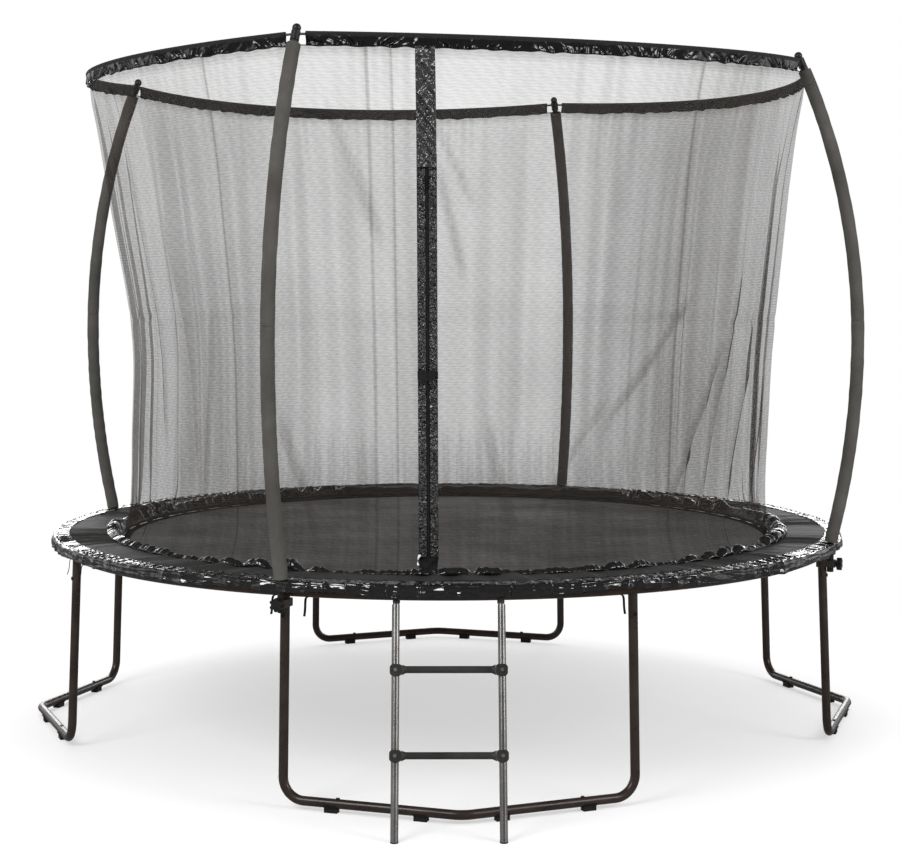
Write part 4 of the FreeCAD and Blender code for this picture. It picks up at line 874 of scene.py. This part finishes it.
def along_zip(name, level, across, rise, thick, made):
    """A closed strip up the zip: one row for every height in level, one column for every
    distance in across. rise lifts the front off the zip's line, outwards; the back lies thick
    behind it and meets it at both ends."""
    path = np.stack([zip_reach(level), 0 * level, level], -1)
    rise = np.broadcast_to(rise, (len(level), len(across)))
    depth = np.full((len(level), 1), thick)
    depth[[0, -1]] = 0
    wide = np.broadcast_to(across, rise.shape)
    front = np.stack([rise, wide], -1)
    back = np.stack([rise - depth, wide], -1)[:, ::-1]
    out = np.tile([1.0, 0.0, 0.0], (len(level), 1))
    grid = turned(carried(path, out, np.concatenate([front, back], 1)), ZIP_TURN)
    piece = surface(name, grid, made, around=True)
    merged(piece)
    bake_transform(piece)
    return piece


level = np.linspace(ZIP_FOOT, ZIP_HEAD, 560)
share = ((level - 0.8) / 1.36)[:, None]
for side, label in ((-1, "left"), (1, "right")):
    across = np.sort(side * np.linspace(0.0060, 0.0335, 15))
    slant = share + 0.004 * ripples(606 + side, share, 40, 90) * across[None] / 0.03
    puckers = (0.0014 * ripples(600 + side, slant, 55, 120, 12)
               + 0.0013 * ripples(603 + side, share, 90, 170, 12)
               * np.sin(across[None] * 450 + 2.5 * ripples(609 + side, share, 20, 60)))
    held = 0.35 + 0.65 * np.sin(np.linspace(0, math.pi, 15)) ** 0.6
    # flat where the slider runs
    held = held * np.clip((np.abs(across) - 0.009) / 0.006, 0.1, 1)
    rows_of_stitches = (0.0011 * np.exp(-((np.abs(across) - 0.0290) / 0.0012) ** 2)
                        * (0.5 + 0.5 * np.sin(TURN * share * 340)))
    facing = along_zip(f"zip_facing_{label}", level, across,
                       0.0015 + puckers * held + rows_of_stitches, 0.0014, zip_cloth)
    mark(facing, "dull", np.zeros(len(facing.data.vertices)))
    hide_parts("zip_tapes")

tape = along_zip("zip_tape", np.linspace(ZIP_FOOT, ZIP_HEAD, 90), np.linspace(-0.0085, 0.0085, 5),
                 0.0, 0.0010, strap_black)
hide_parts("zip_tapes")

# interlocking teeth: blocks 4.6 mm wide, 1.5 mm high, in turn from the left and from the right
tooth_level = np.arange(0.812, 2.150, 0.0036)
block = np.array([(x, y, z) for x in (0, 1) for y in (-1, 1) for z in (-1, 1)], float)
teeth = []
for side in (-1, 1):
    height = tooth_level + 0.0009 * side
    centre = np.stack([zip_reach(height), 0 * height + 0.0011 * side, height], -1)
    teeth.append(centre[:, None] + block[None] * [0.0014, 0.0023, 0.00075])
teeth = turned(np.concatenate(teeth).reshape(-1, 3), ZIP_TURN)
sides = np.array([(0, 1, 3, 2), (4, 6, 7, 5), (0, 4, 5, 1), (2, 3, 7, 6), (0, 2, 6, 4),
                  (1, 5, 7, 3)])
starts = np.arange(0, len(teeth), 8)[:, None, None]
# moulded black nylon, slightly shiny
tooth_nylon = material("moulded_nylon", Base_Color=linear("161616"), Roughness=0.35)[0]
zip_teeth = meshed("zip_teeth", teeth.tolist(), (sides[None] + starts).reshape(-1, 4).tolist(),
                   tooth_nylon)
merged(zip_teeth)
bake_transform(zip_teeth)
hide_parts("zip_tapes")

# the cover flap over the zip's head: crinkled coated cloth, plain, folded under and stitched
# along its two edges and its foot, hanging from the band in front of the facings
FLAP_FOOT, FLAP_HALF_WIDTH = 2.119, 0.033
level = np.linspace(FLAP_FOOT, 2.504, 206)
from_foot = (level - FLAP_FOOT)[:, None]
share = from_foot / 0.373
across = np.linspace(-FLAP_HALF_WIDTH, FLAP_HALF_WIDTH, 41)
edge = FLAP_HALF_WIDTH - np.abs(across)
wrinkles = (0.0024 * ripples(620, share + 4.0 * across, 3, 9, 8)
            + 0.0013 * ripples(621, share - 3.5 * across, 8, 24, 12)
            + 0.0005 * ripples(622, share * 0.7 + 2.5 * across, 20, 60, 14))
hem_rows = (0.0012 * np.exp(-((edge - 0.0055) / 0.0014) ** 2)
            * (0.6 + 0.4 * np.sin(TURN * share * 75)))
foot_row = 0.0012 * np.exp(-((from_foot - 0.0065) / 0.0014) ** 2)
calm = np.clip(edge / 0.006, 0.35, 1)
under_band = 0.0110 - 0.0070 * np.clip((level[:, None] - 2.480) / 0.016, 0, 1)
flap = along_zip("zip_cover_flap", level, across,
                 under_band + wrinkles * calm + hem_rows + foot_row, 0.0016, flap_cloth)
mark(flap, "dull", np.full(len(flap.data.vertices), 0.03))
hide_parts("zip_flap")

# black webbing sewn across the zip's foot, and the two short straps that hold the buckle
level = np.linspace(0.752, 0.8130, 17)
across = np.linspace(-0.0315, 0.0315, 16)
stitches = 0.0006 * (((level[:, None] - 0.796) % 0.042) < 0.004)
foot = along_zip("zip_foot_webbing", level, across,
                 0.0050 + stitches + 0.0004 * np.sin(across * 300)[None], 0.0022, strap_black)
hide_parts("zip_tapes")
for side, label in ((-1, "left"), (1, "right")):
    across = np.sort(side * np.linspace(0.0225, 0.0345, 7))
    bow = 0.0052 * np.clip((0.0335 - np.abs(across)) / 0.011, 0, 1) ** 0.7
    strap = along_zip(f"buckle_strap_{label}", np.linspace(1.4175, 1.4425, 8), across,
                      0.0035 + bow, 0.0016, strap_black)
    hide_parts("zip_tapes")

# a small blank sewn-in label of white satin beside the zip's foot: one strip folded on itself,
# standing out from the facing's left edge, its loose end bent
turn = np.linspace(0, 1, 15)
label_side = -0.0300 - 0.0085 * np.sin(turn * 2.2) + 0.003 * turn
label_height = 0.8180 - 0.0340 * turn
tilt = 0.0045 * np.cos(turn * 2.6)
rows = []
for shift, side in ((0.0, -1), (0.0, 1), (1.0, 1), (1.0, -1)):
    depth = 0.0085 + 0.0065 * np.sin(turn * 3.0) - 0.0008 * shift
    rows.append(np.stack([zip_reach(label_height) + depth + side * 0.003,
                          label_side + side * tilt, label_height], -1))
grid = turned(np.stack(rows, 1), ZIP_TURN)
# woven white polyester satin
satin = material("white_satin", Base_Color=linear("e6e6e4"), Roughness=0.4)[0]
tag = surface("blank_label", capped(grid), satin, around=True)
merged(tag)
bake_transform(tag)

# the band's foot cord shows as a thin black line in the gap beside each pole
spot = np.linspace(-2.6, 2.6, 15)
path = polar(1.392, np.radians(spot), 2.5185 - 0.0016 * np.abs(spot))
grid = carried(path, path * [1, 1, 0], cord_profile(0.0016))
for number, pole_turn in enumerate(POLE_TURNS, start=1):
    cord = surface(f"band_foot_cord_{number}", capped(turned(grid, pole_turn)), strap_black,
                   around=True)
    merged(cord)
    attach(cord, "root")


# Floor, lights and camera: a pale studio floor in even soft light, seen from the photograph's
# place. The camera sees the background as plain white, and the floor's matt white paint melts
# into it far from the object.
floor_paint, put, give = material("floor_paint", Base_Color=linear("f4f4f4"), Roughness=0.9,
                                  Specular_IOR_Level=0.1)
floor = meshed("studio_floor", [(-40, -40, 0), (40, -40, 0), (40, 40, 0), (-40, 40, 0)],
               [(0, 1, 2, 3)], floor_paint)
far = put("VectorMath", (put("TexCoord"), "Object"), operation="LENGTH")
fade = put("MapRange", From_Min=1.9, From_Max=3.4, To_Min=0.5, Value=(far, "Value"))
seen = put("LightPath")
direct = put("Math", (seen, "Is Camera Ray"), (seen, "Is Transmission Ray"), operation="MAXIMUM")
faded = put("Math", fade, direct, operation="MULTIPLY")
share = put("Math", faded, (seen, "Is Glossy Ray"), operation="MAXIMUM")
# the shiny pieces mirror it dimmer, as above dark cards laid out of the picture
mirrored = put("MapRange", To_Min=1.0, To_Max=0.22, Value=(seen, "Is Glossy Ray"))
plain = put("Emission", Color=(1, 1, 1, 1), Strength=mirrored)
nodes = floor_paint.node_tree.nodes
both = put("MixShader", share, nodes["Principled BSDF"], plain)
fill(floor_paint.node_tree, nodes["Material Output"], Surface=both)


def soft_light(name, place, aim, width, height, power):
    """A rectangular soft box at a place, facing a point."""
    data = bpy.data.lights.new(name, "AREA")
    data.shape = "RECTANGLE"
    data.size = width
    data.size_y = height
    data.energy = power
    lamp = placed(name, data)
    lamp.location = place
    way = np.array(aim, float) - np.array(place, float)
    lamp.rotation_euler = (math.atan2(math.hypot(way[0], way[1]), -way[2]), 0,
                           math.atan2(-way[0], way[1]))
    return lamp


soft_light("key_box", (-4.5, -5.5, 5.5), (0, 0, 1.2), 3.0, 3.0, 330)
soft_light("fill_box", (5.5, -4.5, 4.0), (0, 0, 1.2), 2.6, 2.6, 215)
# the large box overhead lights the mat, and the shiny pieces don't mirror it
top = soft_light("top_box", (0, 1.5, 7.0), (0, 0, 0.8), 5.0, 5.0, 220)
top.visible_glossy = False
# two low boxes behind, out of the camera's sight, glance off the glossy strips at both sides
for name, side in (("rim_box_left", -1), ("rim_box_right", 1)):
    rim = soft_light(name, (2.7 * side, 5.2, 1.75), (1.5 * side, 0, 0.8), 2.2, 1.1, 48)
    rim.visible_camera = False

world = bpy.data.worlds.new("studio")
bpy.context.scene.world = world
world.use_nodes = True
sky = world.node_tree
put = functools.partial(add_node, sky)
seen = put("LightPath")
white = put("Math", (seen, "Is Camera Ray"), (seen, "Is Transmission Ray"), operation="MAXIMUM")
# shiny pieces show the white backdrop behind and beside the trampoline, and a dim ceiling
axes = put("SeparateXYZ", (put("TexCoord"), "Generated"))
behind = put("MapRange", From_Min=-0.65, From_Max=-0.05, Value=(axes, "Y"))
low = put("MapRange", From_Min=0.62, From_Max=0.25, Value=(axes, "Z"))
drop = put("Math", behind, low, operation="MULTIPLY")
shown = put("Math", drop, (seen, "Is Glossy Ray"), operation="MULTIPLY")
any_white = put("Math", white, shown, operation="MAXIMUM")
dim = put("MapRange", To_Min=0.8, To_Max=0.16, Value=(seen, "Is Glossy Ray"))
glow = put("MapRange", To_Max=1.0, Value=any_white, To_Min=dim)
back = sky.nodes["Background"]
back.inputs["Color"].default_value = (1, 1, 1, 1)
fill(sky, back, Strength=glow)

camera_data = bpy.data.cameras.new("camera")
camera_data.sensor_width = 36.0
camera_data.lens = 77.4
camera = placed("camera", camera_data)
camera.location = (-0.2285, -7.7426, 1.754)
camera.rotation_euler = (math.radians(90 - 4.595), 0, math.radians(-1.776))
bpy.context.scene.camera = camera
bpy.context.scene.view_settings.view_transform = "Standard"
